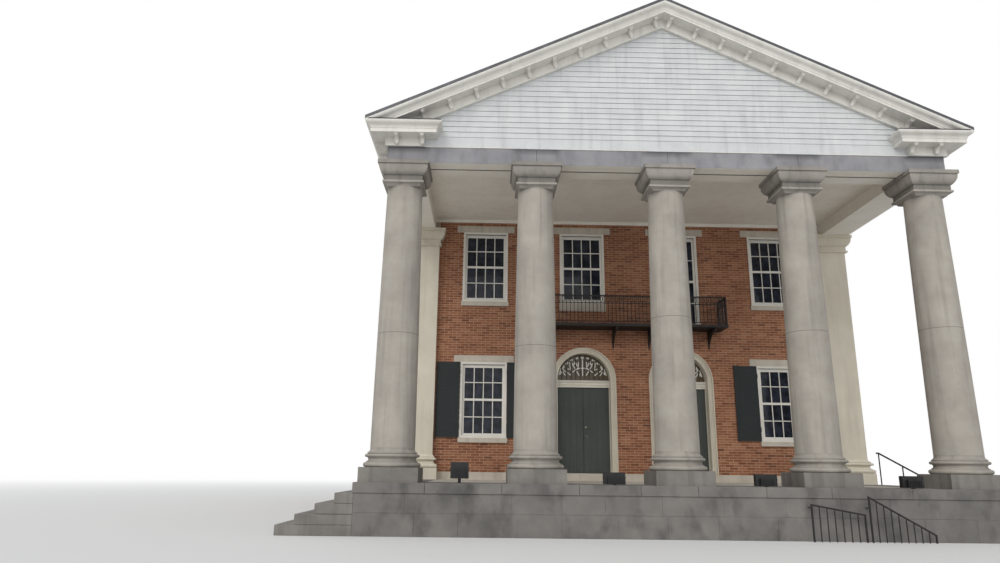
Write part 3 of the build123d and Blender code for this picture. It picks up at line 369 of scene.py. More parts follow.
# %% Paint, boards, iron and roof metal
paint = {"grains": 30.0, "depth": 0.12, "roughness": 0.6}
cream_paint = weathered("cream paint", (214, 207, 190), (200, 192, 175), (150, 143, 130), 0.25, **paint)
ceiling_paint = weathered("ceiling paint", (240, 236, 226), (228, 222, 210), (196, 188, 174), 0.2,
                          **{**paint, "depth": 0.10})
white_paint = weathered("white paint", (222, 220, 213), (208, 205, 198), (158, 154, 148), 0.3,
                        **{**paint, "roughness": 0.55})
board_paint = weathered("board paint", (206, 208, 208), (190, 192, 194), (140, 141, 144), 0.3,
                        patches=2.0, **paint)
window_white = weathered("window white", (232, 229, 221), (220, 216, 207), roughness=0.45, depth=0.08)
door_green = weathered("door green", (68, 73, 71), (57, 62, 60), (84, 89, 87), 0.3,
                       streaks_per_metre=14.0, depth=0.15, roughness=0.62)
shutter_green = weathered("shutter green", (32, 39, 40), (25, 31, 32), (46, 54, 55), 0.25,
                          streaks_per_metre=14.0, depth=0.15, roughness=0.68)
old_boards = weathered("old floor boards", (128, 96, 66), (98, 72, 48), grains=40.0, roughness=0.6)
# A dark finish that is painted shadow for the gap behind the stone beam.
painted_shadow_finish = weathered("sooty joint", (52, 48, 44), (36, 33, 30))
black_iron = metal("black iron", (44, 42, 41), (30, 28, 27), 0.55, 0.3)
lamp_black = metal("lamp housing", (38, 38, 39), (27, 27, 28), 0.5, 0.2)
roof_metal = metal("roof metal", (92, 94, 97), (72, 73, 76), 0.5, 0.5)
dark_metal = metal("flashing metal", (58, 59, 62), (44, 45, 48), 0.6, 0.2)
bright_metal = metal("worn steel", (196, 190, 178), (168, 160, 148), 0.32, 0.9, 0.08)
print("paint and metal ready")

# %% Glass
# The fanlights' warm brown with upright stripes is painted light from inside, not the glass's own colour.
fanlight_painted_light_glass = weathered("curtained glass", (108, 95, 74), (86, 74, 56), (52, 44, 33), 0.9,
                            grains=20.0, depth=0.05, roughness=0.22, streaks_per_metre=26.0, length=3.0)
old_glass = plain_material("old window glass", shade(41, 42, 45)[:3], 0.06)
tree = old_glass.node_tree
surface = tree.nodes["Principled BSDF"].inputs
surface["Specular IOR Level"].default_value = 0.28
ripple = noise(tree, place_of(tree), 5.0, 1.0)
glass_tone = mix_of(tree, ramp_of(tree, ripple, 0.35, 0.65), shade(26, 29, 36), shade(46, 50, 62))
tree.links.new(glass_tone, surface["Base Color"])
tree.links.new(node(tree, "ShaderNodeBump", {"Strength": 0.25, "Distance": 0.01, "Height": ripple}).outputs[0],
               surface["Normal"])
print("glass ready")

# %% Which finish each measured piece takes
finishes = {
    column_stone: ["column_shafts"],
    capital_stone: ["column_capitals"],
    plinth_stone: ["column_plinths"],
    base_stone: ["column_bases"],
    podium_stone: ["podium_walls", "podium_coping", "foundation"],
    paving_stone: ["porch_floor"],
    step_stone: ["lowest_steps", "second_steps", "third_steps", "top_steps"],
    beam_stone: ["front_architrave"],
    lintel_stone: ["window_lintels", "window_sills", "door_sills", "base_course"],
    cream_paint: ["antae", "door_surrounds"],
    ceiling_paint: ["timber_beams", "porch_ceiling"],
    white_paint: ["raking_cornices", "eave_cornices", "cornice_returns", "modillions", "frieze_boards",
                  "eave_beams"],
    board_paint: ["tympanums"],
    window_white: ["window_frames", "window_sashes"],
    mortar: ["front_wall_piers", "front_wall_upper", "side_walls", "back_wall"],
    door_green: [name for name in nodes if name.endswith("_leaf")],
    shutter_green: [name for name in nodes if name.endswith("_shutter")],
    black_iron: ["balcony_floor", "balcony_brackets", "balcony_front_rail", "balcony_end_rails",
                 "step_handrail", "area_railings", "shutter_pintles"],
    lamp_black: ["floodlights"],
    roof_metal: ["roof_slopes", "roof_ridge"],
    old_glass: ["window_glass"],
    fanlight_painted_light_glass: ["fanlights"],
    old_boards: ["floors"],
}
for finish_of_piece, names in finishes.items():
    for name in names:
        nodes[name].data.materials.clear()
        nodes[name].data.materials.append(finish_of_piece)
unpainted = sorted(set(nodes) - {name for names in finishes.values() for name in names})
print("finished pieces:", len(nodes) - len(unpainted), "left:", unpainted)

# %% [markdown]
# ## Shapes and how they repeat
# A small piece is drawn from boxes, from outlines carried along a line and from bars that follow a
# path. Where it repeats, one is modelled, and a Geometry Nodes tree sets a copy on every point of a
# list, turned and stretched as the list says. The tree ends in Realize Instances and Set Material, so
# each result becomes one plain mesh.


# %% Shapes from boxes, outlines and bars
class Shape:
    """Gathers the corners and faces of one piece."""

    def __init__(self):
        self.corners, self.faces = [], []

    def add(self, corners, faces):
        """Adds corners with faces numbered from the first of them."""
        first = len(self.corners)
        self.corners += [tuple(corner) for corner in corners]
        self.faces += [tuple(first + i for i in face) for face in faces]

    def box(self, x, y, z):
        """A box between the pairs of limits x, y and z, each in any order."""
        self.prism(rectangle(sorted(x), sorted(z)), *sorted(y))

    def prism(self, outline, start, end, along="y"):
        """A flat outline carried from start to end along x, y or z."""
        order = {"x": (2, 0, 1), "y": (0, 2, 1), "z": (0, 1, 2)}[along]
        count = len(outline)
        self.add([[(a, b, c)[i] for i in order] for c in (start, end) for a, b in outline],
                 [tuple(range(count)), tuple(range(2 * count - 1, count - 1, -1))]
                 + [(i, (i + 1) % count, count + (i + 1) % count, count + i) for i in range(count)])

    def bar(self, path, wide, near, far, closed=False, shift=0.0):
        """A bar with a square section that follows a path in the x-z plane, between two depths in y."""
        spots = [Vector(spot) for spot in path]
        count = len(spots)
        for i, spot in enumerate(spots):
            before = spots[i - 1] if i or closed else spot
            after = spots[(i + 1) % count] if i < count - 1 or closed else spot
            ahead = (after - spot).normalized() if after != spot else (spot - before).normalized()
            behind = (spot - before).normalized() if before != spot else ahead
            line = (ahead + behind).normalized()
            side = Vector((-line.y, line.x)) / max(0.4, line.dot(ahead))
            a, b = (spot + side * edge for edge in about(shift, wide))
            self.add([(a.x, near, a.y), (b.x, near, b.y), (b.x, far, b.y), (a.x, far, a.y)], [])
        first = len(self.corners) - 4 * count
        pairs = [(i, (i + 1) % count) for i in range(count if closed else count - 1)]
        faces = [(4 * a + k, 4 * a + (k + 1) % 4, 4 * b + (k + 1) % 4, 4 * b + k)
                 for a, b in pairs for k in range(4)]
        if not closed:
            faces += [(3, 2, 1, 0), tuple(4 * (count - 1) + k for k in range(4))]
        self.faces += [tuple(first + i for i in face) for face in faces]

    def mesh(self, name):
        """The finished mesh, with every face pointing outwards."""
        made = bpy.data.meshes.new(name)
        made.from_pydata(self.corners, [], self.faces)
        work = bmesh.new()
        work.from_mesh(made)
        bmesh.ops.recalc_face_normals(work, faces=work.faces)
        work.to_mesh(made)
        work.free()
        made.update()
        return made

    def piece(self, name, finish):
        """The shape as an object in the scene, with its finish."""
        made = linked(name, self.mesh(name))
        made.data.materials.append(finish)
        return made


print("shapes can be drawn")

# %% A tree that sets copies of a model on points
copies = bpy.data.node_groups.new("copies of a model", "GeometryNodeTree")
kinds = {"Points": "Geometry", "Model": "Object", "Wander": "Vector", "Seed": "Int", "Finish": "Material"}
for title, kind in kinds.items():
    copies.interface.new_socket(title, in_out="INPUT", socket_type="NodeSocket" + kind)
copies.interface.new_socket("Piece", in_out="OUTPUT", socket_type="NodeSocketGeometry")
inside = node(copies, "NodeGroupInput").outputs
turn_of_copy, size_of_copy = (node(copies, "GeometryNodeInputNamedAttribute", {"Name": name},
                                   data_type="FLOAT_VECTOR").outputs[0] for name in ("turn", "size"))
drawn = node(copies, "FunctionNodeRandomValue", {"Min": (-1, -1, -1), "Max": (1, 1, 1), "Seed": inside["Seed"]},
             data_type="FLOAT_VECTOR").outputs[0]
moved = node(copies, "ShaderNodeVectorMath", {0: drawn, 1: inside["Wander"]}, operation="MULTIPLY").outputs[0]
points = node(copies, "GeometryNodeSetPosition", {"Geometry": inside["Points"], "Offset": moved}).outputs[0]
model = node(copies, "GeometryNodeObjectInfo", {"Object": inside["Model"]}).outputs["Geometry"]
many = node(copies, "GeometryNodeInstanceOnPoints", {
    "Points": points, "Instance": model, "Rotation": turn_of_copy, "Scale": size_of_copy}).outputs[0]
tone = node(copies, "FunctionNodeRandomValue", {2: 0.0, 3: 1.0, "Seed": inside["Seed"]},
            data_type="FLOAT").outputs[1]
many = node(copies, "GeometryNodeStoreNamedAttribute", {"Geometry": many, "Name": "tone", "Value": tone},
            data_type="FLOAT", domain="INSTANCE").outputs[0]
real = node(copies, "GeometryNodeRealizeInstances", {0: many}).outputs[0]
done = node(copies, "GeometryNodeSetMaterial", {"Geometry": real, "Material": inside["Finish"]}).outputs[0]
node(copies, "NodeGroupOutput", {"Piece": done})


def repeated(name, shape, spots, finish, turns=None, sizes=None, wander=(0.0, 0.0, 0.0), seed=1):
    """Copies of one shape at many spots, each turned and stretched, as one plain mesh."""
    pattern = bpy.data.objects.new(name + "_model", shape.mesh(name + "_model"))
    seeds = bpy.data.meshes.new(name + "_points")
    seeds.from_pydata(spots, [], [])
    for title, rows, usual in (("turn", turns, (0, 0, 0)), ("size", sizes, (1, 1, 1))):
        flat = [part for row in rows or [usual] * len(spots) for part in row]
        seeds.attributes.new(title, "FLOAT_VECTOR", "POINT").data.foreach_set("vector", flat)
    made = linked(name, seeds)
    growth = made.modifiers.new("growth", "NODES")
    growth.node_group = copies
    values = {"Model": pattern, "Wander": wander, "Seed": seed, "Finish": finish}
    for socket in copies.interface.items_tree:
        if socket.name in values:
            growth[socket.identifier] = values[socket.name]
    mesh = bpy.data.meshes.new_from_object(made.evaluated_get(bpy.context.evaluated_depsgraph_get()))
    made.modifiers.remove(growth)
    made.data = mesh
    bpy.data.meshes.remove(seeds)
    bpy.data.meshes.remove(pattern.data)
    return made


def fitted(piece, body=FREE, stands_for=()):
    """Hangs a finished piece on its body and hides the measured parts it stands for."""
    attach(piece, body)
    if stands_for:
        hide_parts(*stands_for)
    mesh = piece.data
    mesh.calc_loop_triangles()
    print(f"{piece.name}: {len(mesh.loop_triangles)} triangles")
    return piece


# %% [markdown]
# ## Brickwork
# The walls are laid in running bond: stretchers in level courses, each joint over the middle of the
# brick below. The measured walls stay as the mortar bed. A short calculation lists where each brick
# lies and how long it is, cut at windows, doors and corners, and the tree sets one brick on each point.

# %% Sizes of the walls and their openings
brick_long, brick_high, mortar_joint = 0.225, 0.060, 0.010
brick_proud, brick_sunk, shortest_brick = 0.0035, 0.004, 0.02
coping_low, coping_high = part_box("podium_coping")
coping_foot, coping_top = coping_low.z, coping_high.z
beam_low, beam_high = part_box("front_architrave")
beam_foot, wall_top, beam_end = beam_low.z, beam_high.z, beam_high.x
sides_low, sides_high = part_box("side_walls")
anta_back, wall_x = sides_low.y, sides_high.x
wall_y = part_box("front_wall_upper")[0].y
back_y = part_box("back_wall")[1].y
ceiling_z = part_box("porch_ceiling")[0].z
sill_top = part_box("base_course")[1].z
pane_wide, pane_high = 1.29, 2.075
lintel_wide, lintel_high, sill_wide, sill_high = 1.67, 0.19, 1.354, 0.125
tall_sill_wide, tall_sill_high = 1.33, 0.23
brick_arch, spring_z, wall_ends = 0.86, 3.755, (-5.5, 5.5)
outer_x, door_x = 4.16, 1.36
front_bays, door_bays = (-outer_x, outer_x), (-door_x, door_x)
lower_foot, upper_foot, rear_foot, balcony_foot = 2.13, 5.94, 5.745, 5.275
front_windows = [(x, lower_foot) for x in front_bays] + [(x, upper_foot) for x in (-outer_x, -door_x, outer_x)]
side_windows = [(wall_y + 3.75 * (i + 0.5), foot) for i in range(4) for foot in (lower_foot, rear_foot)]
back_windows = [(x, foot) for x in (-outer_x, -door_x, door_x, outer_x) for foot in (lower_foot, rear_foot)]
print("windows:", len(front_windows), "in front,", len(side_windows), "each side,", len(back_windows), "behind")


# %% Where the bricks lie
def window_gaps(windows):
    """The parts of a wall taken up by windows, their lintels and their sills, as (left, right, foot, top)."""
    return [gap for middle, foot in windows for gap in (
        (*about(middle, pane_wide), foot, foot + pane_high),
        (*about(middle, lintel_wide), foot + pane_high, foot + pane_high + lintel_high),
        (*about(middle, sill_wide), foot - sill_high, foot))]


def free_spans(left, right, level, gaps, doors):
    """The stretches of a course that no gap takes away."""
    cuts = [(a, b) for a, b, foot, top in gaps if foot <= level <= top]
    rise = max(0.0, level - spring_z)
    if rise < brick_arch:
        cuts += [about(middle, 2 * math.sqrt(brick_arch ** 2 - rise ** 2)) for middle in doors]
    spans, at = [], left
    for a, b in sorted(cuts):
        if a > at:
            spans.append((at, a))
        at = max(at, b)
    return spans + ([(at, right)] if right > at else [])


def lay_bricks(left, right, foot, top, gaps, doors=()):
    """Every brick of a wall as (middle along the wall, height of its middle, length)."""
    laid = []
    step, course = brick_long + mortar_joint, brick_high + mortar_joint
    for number in range(math.ceil((top - foot) / course)):
        middle_z = foot + course * number + course / 2
        shift = step / 2 * (number % 2)
        for a, b in free_spans(left, right, middle_z, gaps, doors):
            for i in range(math.floor((a - shift) / step), math.ceil((b - shift) / step) + 1):
                low, high = max(a, i * step + shift), min(b, i * step + shift + brick_long)
                if high - low > shortest_brick:
                    laid.append(((low + high) / 2, middle_z, high - low))
    return laid


upper_head = upper_foot + pane_high
front_gaps = window_gaps(front_windows) + [
    (*about(door_x, pane_wide), balcony_foot, upper_head),
    (*about(door_x, lintel_wide), upper_head, upper_head + lintel_high),
    (*about(-door_x, tall_sill_wide), upper_foot - tall_sill_high, upper_foot)]
front_laid = lay_bricks(*wall_ends, sill_top, ceiling_z, front_gaps, door_bays)
side_laid = lay_bricks(anta_back, back_y, coping_top, beam_foot, window_gaps(side_windows))
back_half = wall_x + brick_proud
back_laid = lay_bricks(-back_half, back_half, coping_top, beam_foot, window_gaps(back_windows))
print("bricks in front:", len(front_laid), "each side:", len(side_laid), "back:", len(back_laid))

# %% Brick red in many tones
brick_red = plain_material("brick", shade(150, 90, 64)[:3], 0.9)
tree = brick_red.node_tree
surface = tree.nodes["Principled BSDF"].inputs
reds = ((0, (122, 74, 52)), (0.15, (142, 89, 62)), (0.5, (155, 101, 71)), (0.85, (166, 112, 81)),
        (1, (176, 125, 95)))
tree.links.new(toned(tree, node(tree, "ShaderNodeAttribute", attribute_name="tone").outputs["Fac"],
                     [(share, shade(*colour)) for share, colour in reds]), surface["Base Color"])
place = place_of(tree)
stains = use_group(tree, clouds, Place=place, Dark=(0.72, 0.69, 0.67, 1), Patches_per_metre=0.6)
tint(brick_red, 1.0, stains, "MULTIPLY")
tree.links.new(use_group(tree, grain, Place=place, Grains_per_metre=160.0, Depth=0.5), surface["Normal"])
print("brick tones:", len(reds))

# %% Four brick walls
brick_deep, face_shift = brick_proud + brick_sunk, (brick_proud - brick_sunk) / 2
brick = Shape()
brick.box(about(0, 1), about(0, 1), about(0, 1))
walls = {
    "front_bricks": (front_laid, lambda along, z: (along, wall_y - face_shift, z), 0),
    "left_bricks": (side_laid, lambda along, z: (-wall_x - face_shift, along, z), math.pi / 2),
    "right_bricks": (side_laid, lambda along, z: (wall_x + face_shift, along, z), math.pi / 2),
    "back_bricks": (back_laid, lambda along, z: (along, back_y + face_shift, z), 0),
}
for seed, (name, (laid, spot_of, heading)) in enumerate(walls.items(), start=7):
    fitted(repeated(name, brick, [spot_of(along, z) for along, z, _ in laid], brick_red,
                    [(0, 0, heading)] * len(laid), [(long, brick_deep, brick_high) for _, _, long in laid],
                    wander=(0.0015, 0.0015, 0.00075), seed=seed))

# %% [markdown]
# ## Lapped boards of the gables
# Each gable is closed with level boards whose lower edge laps over the board below, which gives the
# fine shadow lines. One wedge-shaped board is modelled and a tree repeats it, stretched to length.
# The ends run in behind the sloping cornices, as the carpenter's would.

# %% The lapped boards
board_pitch, board_butt, board_edge, board_lap, board_gap, skirt_high = 0.135, 0.023, 0.003, 0.002, 0.002, 0.27
slope_turn, roof_thick, ridge_half = math.radians(25), 0.07, 0.005
roof_slope, slope_cos = math.tan(slope_turn), math.cos(slope_turn)
rake_drop = 0.415 / slope_cos
apex_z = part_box("roof_slopes")[1].z - roof_thick / slope_cos + ridge_half * roof_slope
gable_y = -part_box("tympanums")[0].y
board = Shape()
board.prism([(0, 0), (-board_butt, 0), (-board_edge, board_pitch + board_lap), (0, board_pitch + board_lap)],
            -0.5, 0.5, "x")
random.seed(41)
for name, facing in (("front_boards", 1), ("back_boards", -1)):
    spots, sizes, turns = [], [], []
    level = wall_top + skirt_high
    while (half := min(beam_end - 0.01, (apex_z - rake_drop - level) / roof_slope)) >= 0.1:
        at = -half
        while at < half:
            to = min(half, at + random.uniform(2.6, 5.2))
            to = half if half - to < 1.0 else to
            spots.append(((at + to) / 2, -gable_y * facing, level))
            sizes.append((to - at - board_gap, 1, 1))
            turns.append((0, 0, 0 if facing > 0 else math.pi))
            at = to
        level += board_pitch
    fitted(repeated(name, board, spots, board_paint, turns, sizes, (0.0006, 0.0006, 0.0006), 3))

skirts = Shape()
for facing in (1, -1):
    for short, proud, foot, top in ((0.01, 0.011, 0, skirt_high), (0.02, 0.024, 0.001, 0.03)):
        skirts.box(about(0, 2 * (beam_end - short)), (-gable_y * facing, -(gable_y + proud) * facing),
                   (wall_top + foot, wall_top + top))
fitted(skirts.piece("gable_skirts", board_paint))

# %% [markdown]
# ## Windows
# Every window has two sliding sashes, each with four panes by two, so the old glass is held by thin
# bars. The bars, the moulding round the frame and the bullseye blocks of the lintels are modelled once
# and repeated at all openings by the same tree.

# %% Window bars and frame mouldings
frame_wide, stile_wide, nose_wide, head_high = 0.060, 0.062, 0.010, 0.030
light_wide = pane_wide - 2 * frame_wide - 2 * stile_wide


def window_shape(high):
    """The bars and the moulding of a window of this height, drawn from its middle on the wall's face."""
    light_high = (high - 2 * frame_wide - 3 * stile_wide) / 2
    bars = Shape()
    for middle in about(0, light_high + stile_wide):
        for x in (-light_wide / 4, 0, light_wide / 4):
            bars.box(about(x, nose_wide), (0.0405, 0.0455), about(middle, light_high))
        bars.box(about(0, light_wide), (0.0410, 0.0455), about(middle, nose_wide))
    foot, head = -high / 2 + frame_wide, high / 2 - frame_wide - stile_wide
    bars.box(about(0, light_wide), (0.0435, 0.062), (head - head_high, head + 0.001))
    bars.prism([(0.046, foot), (0.020, foot), (0.020, foot + 0.012), (0.046, foot + 0.034)],
               *about(0, light_wide + 2 * stile_wide), "x")
    outer = rectangle(about(0, pane_wide), about(0, high))
    inner = rectangle(about(0, pane_wide - 2 * frame_wide), about(0, high - 2 * frame_wide))
    bars.bar(outer, 0.020, -0.027, -0.012, closed=True, shift=0.010)
    bars.bar(inner, 0.014, -0.020, 0.045, closed=True, shift=-0.007)
    return bars


def wall_spots(windows):
    """Spots and turns for pieces on the four walls; windows lists (wall, distance along it, height)."""
    spots = [{"front": (along, wall_y, z), "back": (-along, back_y, z),
              "left": (-wall_x, -along, z), "right": (wall_x, along, z)}[wall] for wall, along, z in windows]
    headings = {"front": 0, "right": math.pi / 2, "back": math.pi, "left": -math.pi / 2}
    return spots, [(0, 0, headings[wall]) for wall, _, _ in windows]


def raised(windows, rise):
    """The same places on the walls, higher up."""
    return [(wall, along, foot + rise) for wall, along, foot in windows]


all_windows = [("front", x, foot) for x, foot in front_windows]
all_windows += [("right", y, foot) for y, foot in side_windows]
all_windows += [("left", -y, foot) for y, foot in side_windows]
all_windows += [("back", -x, foot) for x, foot in back_windows]
spots, turns = wall_spots(raised(all_windows, pane_high / 2))
fitted(repeated("window_bars", window_shape(pane_high), spots, window_white, turns))
door_high = upper_head - balcony_foot
fitted(repeated("balcony_door_bars", window_shape(door_high), [(door_x, wall_y, balcony_foot + door_high / 2)],
                window_white))

# %% Lintel blocks and sloping sills
lintel = Shape()
circle = [(math.cos(2 * math.pi * i / 16), math.sin(2 * math.pi * i / 16)) for i in range(16)]
block_edge = lintel_high - 0.024
for centre in about(0, lintel_wide - lintel_high):
    lintel.bar([(centre + 0.062 * x, 0.062 * z) for x, z in circle], 0.014, -0.040, -0.029, closed=True)
    lintel.prism([(centre + 0.030 * x, 0.030 * z) for x, z in circle], -0.040, -0.029)
    lintel.bar(rectangle(about(centre, block_edge), about(0, block_edge)), 0.012, -0.036, -0.029, closed=True)
spots, turns = wall_spots(raised(all_windows + [("front", door_x, upper_foot)], pane_high + lintel_high / 2))
fitted(repeated("lintel_bullseyes", lintel, spots, lintel_stone, turns))
slope_board = Shape()
slope_board.prism([(0, 0), (-0.045, 0), (-0.045, 0.014), (0, 0.034)], *about(0, pane_wide), "x")
spots, turns = wall_spots([window for window in all_windows if window != ("front", -door_x, upper_foot)])
fitted(repeated("sloping_sills", slope_board, spots, window_white, turns))

# %% [markdown]
# ## Shutters
# Each lower window has a pair of shutters, folded back against the wall. A shutter is a frame of two
# stiles and three rails with rows of slanting slats between them. One slat is modelled and a tree sets
# it up both faces of every shutter; frame and slats ride on their own shutter, so they fold with it.

# %% Stiles, rails and slats of the shutters
hang_gap, shutter_wide, shutter_back, shutter_front = 0.016, 0.643, 0.020, 0.055
shutter_foot, middle_rail, shutter_top = 2.14, 3.06, 4.195
stile, rail, raised_by, slat_pitch, slat_high, slat_gap = 0.058, 0.095, 0.004, 0.047, 0.040, 0.004
rails = ((shutter_foot, shutter_foot + rail), about(middle_rail, rail), (shutter_top - rail, shutter_top))
slat = Shape()
slat.prism([(0.0, 0.0), (-raised_by, 0.003), (-0.0008, slat_high), (0.0, slat_high)], -0.5, 0.5, "x")
for window, x in zip(("left", "right"), front_bays):
    for hand, side in (("left", -1), ("right", 1)):
        shutter = f"{window}_window_{hand}_shutter"
        near_x = x + side * (pane_wide / 2 + hang_gap)
        far_x = near_x + side * shutter_wide
        inner = (near_x + side * stile, far_x - side * stile)
        outline = Shape()
        spots, sizes, turns = [], [], []
        for y, out in ((wall_y - shutter_front, -1), (wall_y - shutter_back, 1)):
            depths = (y, y + out * raised_by)
            outline.box((near_x, inner[0]), depths, (shutter_foot, shutter_top))
            outline.box((inner[1], far_x), depths, (shutter_foot, shutter_top))
            for levels in rails:
                outline.box(inner, depths, levels)
            for (_, foot), (top, _) in zip(rails, rails[1:]):
                count = int((top - foot) / slat_pitch)
                for i in range(count):
                    spots.append((sum(inner) / 2, y, foot + slat_gap + (top - foot - slat_gap) / count * i))
                    sizes.append((shutter_wide - 2 * stile, 1, 1))
                    turns.append((0, 0, 0 if out < 0 else math.pi))
        fitted(outline.piece(shutter + "_frame", shutter_green), shutter)
        slats = repeated(shutter + "_slats", slat, spots, shutter_green, turns, sizes)
        fitted(slats, shutter)

# %% [markdown]
# ## Doors and fanlights
# Two double doors of upright planks stand in arched casings. Over each, a half-round fanlight has
# curved white tracery behind upright iron bars. The planks ride on their own leaves, so they swing
# with them; casing and tracery stay on the building.

# %% Planks, knobs and keyholes
leaf_face = wall_y + 0.23
leaf_foot, leaf_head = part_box("left_door_left_leaf")[0].z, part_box("left_door_left_leaf")[1].z
plank_from, plank_to, planks_per_leaf = 0.0065, 0.721, 4
plank_gap, plank_bevel, plank_proud = 0.007, 0.011, 0.0045
plank_wide = (plank_to - plank_from) / planks_per_leaf
knob_x, knob_z, knob_radius, key_x, key_drop = 0.06, 2.459, 0.0308, 0.09, 0.24
for doorway, x in zip(("left", "right"), door_bays):
    for hand, side in (("left", -1), ("right", 1)):
        leaf = f"{doorway}_door_{hand}_leaf"
        planks = Shape()
        for i in range(planks_per_leaf):
            low = plank_from + i * plank_wide
            high = low + plank_wide
            outline = [(low + plank_gap, 0), (low + plank_bevel, -plank_proud),
                       (high - plank_bevel, -plank_proud), (high - plank_gap, 0)]
            planks.prism([(x + side * a, leaf_face + b) for a, b in outline],
                         leaf_foot + 0.012, leaf_head - 0.006, "z")
        fitted(planks.piece(leaf + "_planks", door_green), leaf)
    handle = bpy.data.meshes.new(f"{doorway}_door_knob")
    work = bmesh.new()
    bmesh.ops.create_uvsphere(work, u_segments=24, v_segments=12, radius=knob_radius,
                              matrix=Matrix.Translation((x + knob_x, leaf_face - 0.054, knob_z)))
    for at_x, out, at_z, wide, narrow, depth, segments in (
            (knob_x, 0.0075, knob_z, knob_radius, knob_radius, 0.007, 24),
            (knob_x, 0.029, knob_z, 0.0128, 0.0128, 0.05, 24),
            (key_x, 0.0065, knob_z - key_drop, 0.016, 0.014, 0.005, 20)):
        facing_out = Matrix.Translation((x + at_x, leaf_face - out, at_z)) @ Matrix.Rotation(math.pi / 2, 4, "X")
        bmesh.ops.create_cone(work, cap_ends=True, segments=segments, radius1=wide, radius2=narrow,
                              depth=depth, matrix=facing_out)
    work.to_mesh(handle)
    work.free()
    handle.materials.append(bright_metal)
    fitted(linked(handle.name, handle), f"{doorway}_door_right_leaf")


# %% Mouldings of the casings and transoms
def arch_path(radius, foot, steps=28):
    """A door-shaped path: up one side, round the arch and down the other."""
    turns = [math.pi * i / steps for i in range(steps + 1)]
    return [(radius, foot), *[(radius * math.cos(t), radius * math.sin(t)) for t in turns], (-radius, foot)]


casing = Shape()
casing_beads = ((0.884, 0.030, 0.034), (0.850, 0.014, 0.018), (0.800, 0.018, 0.012), (0.762, 0.036, 0.022))
for radius, wide, out in casing_beads:
    casing.bar(arch_path(radius, sill_top - spring_z), wide, -0.025 - out, -0.024)
casing_spots = [(x, wall_y, spring_z) for x in door_bays]
fitted(repeated("casing_mouldings", casing, casing_spots, cream_paint))

transom = Shape()
transom_wide, transom_foot = 1.478, 3.56 - spring_z
for outline in (
        [(0.20, 0.0), (0.155, 0.0), (0.150, -0.012), (0.165, -0.022), (0.175, -0.045), (0.200, -0.052)],
        [(0.20, -0.085), (0.188, -0.085), (0.184, -0.100), (0.188, -0.115), (0.20, -0.115)],
        [(y, transom_foot + up) for y, up in (
            (0.20, 0), (0.172, 0), (0.168, 0.020), (0.182, 0.034), (0.20, 0.036))]):
    transom.prism(outline, *about(0, transom_wide), "x")
fitted(repeated("transom_mouldings", transom, casing_spots, window_white))

# %% Tracery of the fanlights
tracery = Shape()
strokes = [
    [(0, 0.135), (0, 0.650)],
    [(-0.112, 0.530), (-0.122, 0.440), (-0.118, 0.375), (-0.145, 0.335), (-0.205, 0.298), (-0.290, 0.235)],
    [(-0.182, 0.500), (-0.160, 0.430), (-0.120, 0.385)],
    [(-0.282, 0.500), (-0.262, 0.415), (-0.225, 0.365), (-0.195, 0.320)],
    [(-0.235, 0.545), (-0.215, 0.490), (-0.255, 0.450)],
    [(-0.170, 0.265), (-0.100, 0.145)],
    [(-0.362, 0.520), (-0.358, 0.410), (-0.335, 0.300)],
    [(-0.425, 0.335), (-0.335, 0.300)],
    [(-0.430, 0.225), (-0.355, 0.155), (-0.330, 0.190)],
    [(-0.520, 0.430), (-0.555, 0.370), (-0.545, 0.300), (-0.475, 0.245)],
    [(-0.555, 0.255), (-0.530, 0.195), (-0.485, 0.140)],
    [(-0.672, 0.150), (-0.615, 0.335)],
]
for number, stroke in enumerate(strokes):
    for side in ((-1, 1) if number else (1,)):
        tracery.bar([(side * x, z) for x, z in stroke], 0.024, 0.221, 0.239)
arc = [(0.355 * math.sin(t), 0.355 * math.cos(t)) for t in [math.radians(d) for d in range(-26, 27, 4)]]
tracery.bar(arc, 0.020, 0.2215, 0.239)
scallops, scallop_gap, scallop_from, scallop_span = 11, math.radians(3.2), math.radians(12), math.radians(156)
for i in range(scallops):
    low, high = (scallop_from + scallop_span * k / scallops for k in (i, i + 1))
    span = [low + scallop_gap + (high - low - 2 * scallop_gap) * k / 3 for k in range(4)]
    tracery.bar([(0.655 * math.cos(t), 0.655 * math.sin(t)) for t in span], 0.050, 0.2205, 0.239)
fitted(repeated("fanlight_tracery", tracery, casing_spots, window_white))
grille = Shape()
grille_bars, grille_pitch, grille_wide, grille_radius = 10, 0.130, 0.016, 0.738
for i in range(grille_bars):
    x = (i - (grille_bars - 1) / 2) * grille_pitch
    grille.box(about(x, grille_wide), (0.204, 0.218), (0.0, math.sqrt(grille_radius ** 2 - x ** 2)))
fitted(repeated("fanlight_bars", grille, casing_spots, black_iron))

# %% [markdown]
# ## Iron balcony
# The balcony is wrought iron: thin upright bars, a band of rings under the top rail, curls in the end
# panels and scrolled brackets that end in points. Rings and curls are bent from flat bar; one ring is
# modelled and repeated along the rails.

# %% Rings and curls
balcony_low, balcony_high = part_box("balcony_front_rail")
rail_y = (balcony_low.y + balcony_high.y) / 2
floor_foot, rail_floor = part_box("balcony_floor")[0].z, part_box("balcony_floor")[1].z
ring_z = rail_floor + 0.685
ring_pitch, ring_radius, ring_steps = 0.105, 0.066, 14
ring = Shape()
ring_turns = [2 * math.pi * k / ring_steps for k in range(ring_steps)]
ring.bar([(ring_radius * math.cos(t), ring_radius * math.sin(t)) for t in ring_turns],
         0.010, -0.004, 0.004, closed=True)
front_count = int((balcony_high.x - balcony_low.x - 0.1) / ring_pitch)
end_count = int((wall_y - rail_y - 0.1) / ring_pitch)
spots = [((i - (front_count - 1) / 2) * ring_pitch, rail_y + 0.009 * (-1) ** i, ring_z)
         for i in range(front_count)]
spots += [(side * (balcony_high.x - 0.0175), rail_y + 0.09 + i * ring_pitch, ring_z)
          for side in (-1, 1) for i in range(end_count)]
